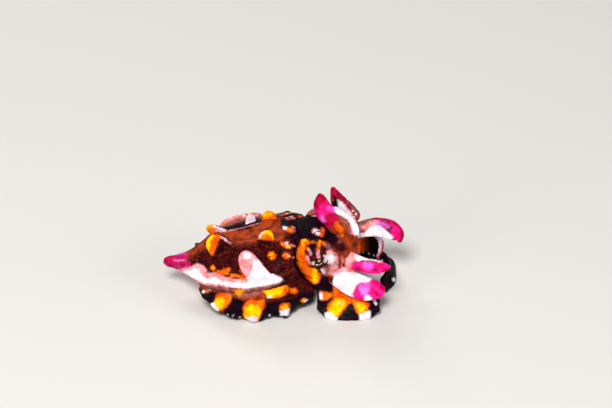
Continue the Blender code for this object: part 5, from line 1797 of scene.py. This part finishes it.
def cuttlefishSkin():
    # wet living skin, thin and slightly translucent; its colour comes from small sacs of pigment
    # packed side by side, which leave the edges of every marking grained
    material, tree = newMaterial("cuttlefish_skin")
    look, place = groundLook, inMillimetres(tree)
    cells = add(tree, "TexVoronoi", {"Vector": place, "Scale": look["sacs"]})
    grain = add(tree, "SeparateColor", {0: cells.outputs["Color"]})
    broad = add(tree, "TexNoise", {"Vector": place, "Scale": look["patches"], "Detail": 3.0})
    fine = add(tree, "TexNoise", {"Vector": place, "Scale": look["raggedness"]})
    levels = {}
    for number, group in enumerate(markGroups):
        vector = add(tree, "Attribute", attribute_name=group).outputs["Vector"]
        parts = add(tree, "SeparateXYZ", {0: vector}).outputs
        levels.update(zip(markNames[3 * number : 3 * number + 3], parts))
    # noise and grain, centred on 0, that move the markings' edges
    wander = add(tree, "Math", {0: grain, 1: 0.35, 2: fine}, **timesPlus)
    wander = add(tree, "Math", {0: wander, 1: 0.675}, operation="SUBTRACT")
    # ground colour: brown sacs, some drawn in to dark points and some spread to rust
    share = add(tree, "MapRange", {0: broad, 1: 0.35, 2: 0.65}, **eased)
    first, second = look["ground"]
    colour = add(tree, "Mix", {0: share, 6: linear(first), 7: linear(second)}, **colours)
    sac = add(tree, "MapRange", {0: cells.outputs["Distance"], 1: 0.42, 2: 0.2}, **eased)
    chosen = {}
    for word, low, high in (("rust", 0.62, 0.9), ("points", 0.42, 0.25), ("dots", 0.3, 0.12)):
        share = add(tree, "MapRange", {0: grain, 1: low, 2: high}, **eased)
        chosen[word] = add(tree, "Math", {0: sac, 1: share}, **times)
    # the sacs that show on a kind, their strength and their colour
    spots = {
        "yellow": (chosen["dots"], 0.75, look["dotsOnOrange"]),
        "orange": (chosen["dots"], 0.75, look["dotsOnOrange"]),
        "pink": (chosen["points"], 0.8, look["dotsOnPink"]),
    }
    between = add(tree, "MapRange", {0: broad, 1: 0.38, 2: 0.64}, **eased)
    for name, (first, second, soft, drift) in skinLook.items():
        moved = add(tree, "Math", {0: wander, 1: drift, 2: levels[name]}, **timesPlus)
        share = add(tree, "MapRange", {0: moved, 1: -soft, 2: soft}, **eased)
        shade = add(tree, "Mix", {0: between, 6: linear(first), 7: linear(second)}, **colours)
        if name in spots:
            dots, strength, code = spots[name]
            dots = add(tree, "Math", {0: dots, 1: strength}, **times)
            shade = add(tree, "Mix", {0: dots, 6: shade, 7: linear(code)}, **colours)
        colour = add(tree, "Mix", {0: share, 6: colour, 7: shade}, **colours)
        if name == "deep":
            rust = add(tree, "Math", {0: chosen["rust"], 1: 0.7}, **times)
            colour = add(tree, "Mix", {0: rust, 6: colour, 7: linear(look["rust"])}, **colours)
            colour = add(tree, "Mix", {0: chosen["points"], 6: colour, 7: linear(look["points"])}, **colours)
    creases = {"Vector": place, "Scale": look["creases"], "Detail": 3.0, "Roughness": 0.6}
    height = add(tree, "Math", {0: sac, 1: 0.35, 2: add(tree, "TexNoise", creases)}, **timesPlus)
    shader = add(tree, "BsdfPrincipled", {
        "Base Color": colour,
        "Normal": add(tree, "Bump", {"Strength": 0.35, "Distance": 0.00008, "Height": height}),
        "Roughness": 0.5,
        "Specular IOR Level": 0.03,
        "Coat Weight": 0.012,
        "Coat Roughness": 0.15,
        "Subsurface Weight": 0.18,
        "Subsurface Radius": (0.9, 0.4, 0.3),
        "Subsurface Scale": 0.0006,
    })
    add(tree, "OutputMaterial", {"Surface": shader})
    return material


def eyeSubstance():
    # a gold iris under a clear wet cornea; the pupil is a narrow dark W
    material, tree = newMaterial("eye_under_clear_cornea")
    look, place = eyeLook, inMillimetres(tree)
    marks = add(tree, "Attribute", attribute_name="eye_marks").outputs["Vector"]
    pupil, iris, height = add(tree, "SeparateXYZ", {0: marks}).outputs
    fleck = add(tree, "TexNoise", {"Vector": place, "Scale": 4.0, "Detail": 3.0, "Roughness": 0.6})
    share = add(tree, "MapRange", {0: fleck, 1: 0.4, 2: 0.62}, **eased)
    first, second = look["iris"]
    colour = add(tree, "Mix", {0: share, 6: linear(first), 7: linear(second)}, **colours)
    share = add(tree, "MapRange", {0: height, 1: 0.0, 2: -0.6}, **eased)
    colour = add(tree, "Mix", {0: share, 6: colour, 7: linear(look["irisBelow"])}, **colours)
    # the flecks move the edge of the iris
    edge = add(tree, "Math", {0: fleck, 1: 0.25, 2: iris}, **timesPlus)
    share = add(tree, "MapRange", {0: edge, 1: 0.065, 2: 0.245}, **eased)
    colour = add(tree, "Mix", {0: share, 6: linear(look["ring"]), 7: colour}, **colours)
    share = add(tree, "MapRange", {0: pupil, 1: -0.03, 2: 0.05}, **eased)
    colour = add(tree, "Mix", {0: share, 6: colour, 7: linear(look["pupil"])}, **colours)
    shader = add(tree, "BsdfPrincipled", {
        "Base Color": colour,
        "Roughness": 0.6,
        "Specular IOR Level": 0.02,
        "Coat Weight": 0.6,
        "Coat Roughness": 0.03,
        "Coat IOR": 1.38,
    })
    add(tree, "OutputMaterial", {"Surface": shader})
    return material


def suckerSkin():
    # smooth pale muscle without pigment, a little translucent
    material, tree = newMaterial("sucker_flesh")
    place = inMillimetres(tree)
    clouds = add(tree, "TexNoise", {"Vector": place, "Scale": 1.2})
    share = add(tree, "MapRange", {0: clouds, 1: 0.35, 2: 0.65}, **eased)
    first, second = suckerForm["colours"]
    grain = add(tree, "TexNoise", {"Vector": place, "Scale": 6.0})
    shader = add(tree, "BsdfPrincipled", {
        "Base Color": add(tree, "Mix", {0: share, 6: linear(first), 7: linear(second)}, **colours),
        "Normal": add(tree, "Bump", {"Strength": 0.2, "Distance": 0.00004, "Height": grain}),
        "Roughness": 0.35,
        "Coat Weight": 0.3,
        "Subsurface Weight": 0.25,
        "Subsurface Radius": (0.9, 0.5, 0.4),
        "Subsurface Scale": 0.0005,
    })
    add(tree, "OutputMaterial", {"Surface": shader})
    return material


def mattPaper():
    # matt paper scatters light evenly, so the floor shows soft shadows and no gloss
    material, tree = newMaterial("matt_paper")
    colour = linear(stageLook["floorColour"])
    shader = add(tree, "BsdfPrincipled", {"Base Color": colour, "Roughness": 0.85})
    add(tree, "OutputMaterial", {"Surface": shader})
    return material


skinMaterial = cuttlefishSkin()
for piece in (bodySkin, headSkin):
    piece.data.materials.clear()
    piece.data.materials.append(skinMaterial)
eyeMaterial = eyeSubstance()
for eye in eyes.values():
    eye.data.materials.append(eyeMaterial)
suckers.data.materials.append(suckerSkin())
print("materials", len(bpy.data.materials))

# each piece hangs from the root, and the solids that the skins and the eyes replace are hidden

armNodes = [f"{name}_{part}" for name in (*armForms, *keelForms) for part in ("base", "tip")]
for piece, slotName in (
    (bodySkin, "mantle_skin"),
    (headSkin, "head_skin"),
    (eyes["right"], "eye"),
    (eyes["left"], "eye"),
    (suckers, "arm_skin"),
):
    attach(piece, "root")
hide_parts("mantle", "fin_right", "fin_left")
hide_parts("head", "funnel", "mouth", *armNodes)
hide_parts("eye_right")
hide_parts("eye_left")
print("pieces ready")

# floor, light and camera

scene = bpy.context.scene
scene.view_settings.view_transform = "Standard"

stageLook = {
    "floorSize": 6.0,  # metres
    "floorColour": "#d9d6d0",
    "worldColour": "#dfe3e8",
    "worldStrength": 0.22,
    # name: place in metres, size in metres, power in watts
    "lights": {
        "key": ((-0.12, -0.55, 0.72), 0.3, 8.0),
        "fill": ((0.75, -0.35, 0.4), 0.5, 2.0),
        "low": ((-0.6, -0.6, 0.3), 0.4, 1.6),
        "rim": ((-0.35, 0.6, 0.55), 0.4, 2.4),
    },
}
half = stageLook["floorSize"] / 2
corners = [(-half, -half, 0), (half, -half, 0), (half, half, 0), (-half, half, 0)]
floor = meshObject("floor", corners, [(0, 1, 2, 3)])
floor.data.materials.append(mattPaper())

world = bpy.data.worlds.new("studio")
world.use_nodes = True
background = world.node_tree.nodes["Background"]
background.inputs[0].default_value = linear(stageLook["worldColour"])
background.inputs[1].default_value = stageLook["worldStrength"]
scene.world = world


def aim(obj, target):  # turns a lamp's -Z axis to the target
    obj.rotation_euler = (Vector(target) - obj.location).to_track_quat("-Z", "Y").to_euler()


for name, (place, size, power) in stageLook["lights"].items():
    data = bpy.data.lights.new(name, "AREA")
    data.shape = "DISK"
    data.size = size
    data.energy = power
    lamp = bpy.data.objects.new(name, data)
    lamp.location = place
    scene.collection.objects.link(lamp)
    aim(lamp, (0, 0, 0.01))

# the photograph looks down at 35 degrees from the animal's right; the animal stands a little left of
# the middle of the frame and below it, so the camera is turned off the animal by two small angles
cameraForm = {
    "lens": 200.0,  # mm
    "distance": 0.85,  # metres from the animal's middle
    "middle": (-0.00016, 0.0, 0.00793),  # metres
    "elevation": 35.0,  # degrees, as are the two small angles
    "up": 0.977,
    "right": 0.467,
}
cameraData = bpy.data.cameras.new("camera")
cameraData.lens = cameraForm["lens"]
cameraData.sensor_width = 36.0
cameraData.clip_start = 0.01
camera = bpy.data.objects.new("camera", cameraData)
elevation = math.radians(cameraForm["elevation"])
away = Vector((0.0, -math.cos(elevation), math.sin(elevation)))
camera.location = Vector(cameraForm["middle"]) + cameraForm["distance"] * away
pitch = math.radians(90 - cameraForm["elevation"] + cameraForm["up"])
camera.rotation_euler = (pitch, 0.0, -math.radians(cameraForm["right"]))
scene.collection.objects.link(camera)
scene.camera = camera
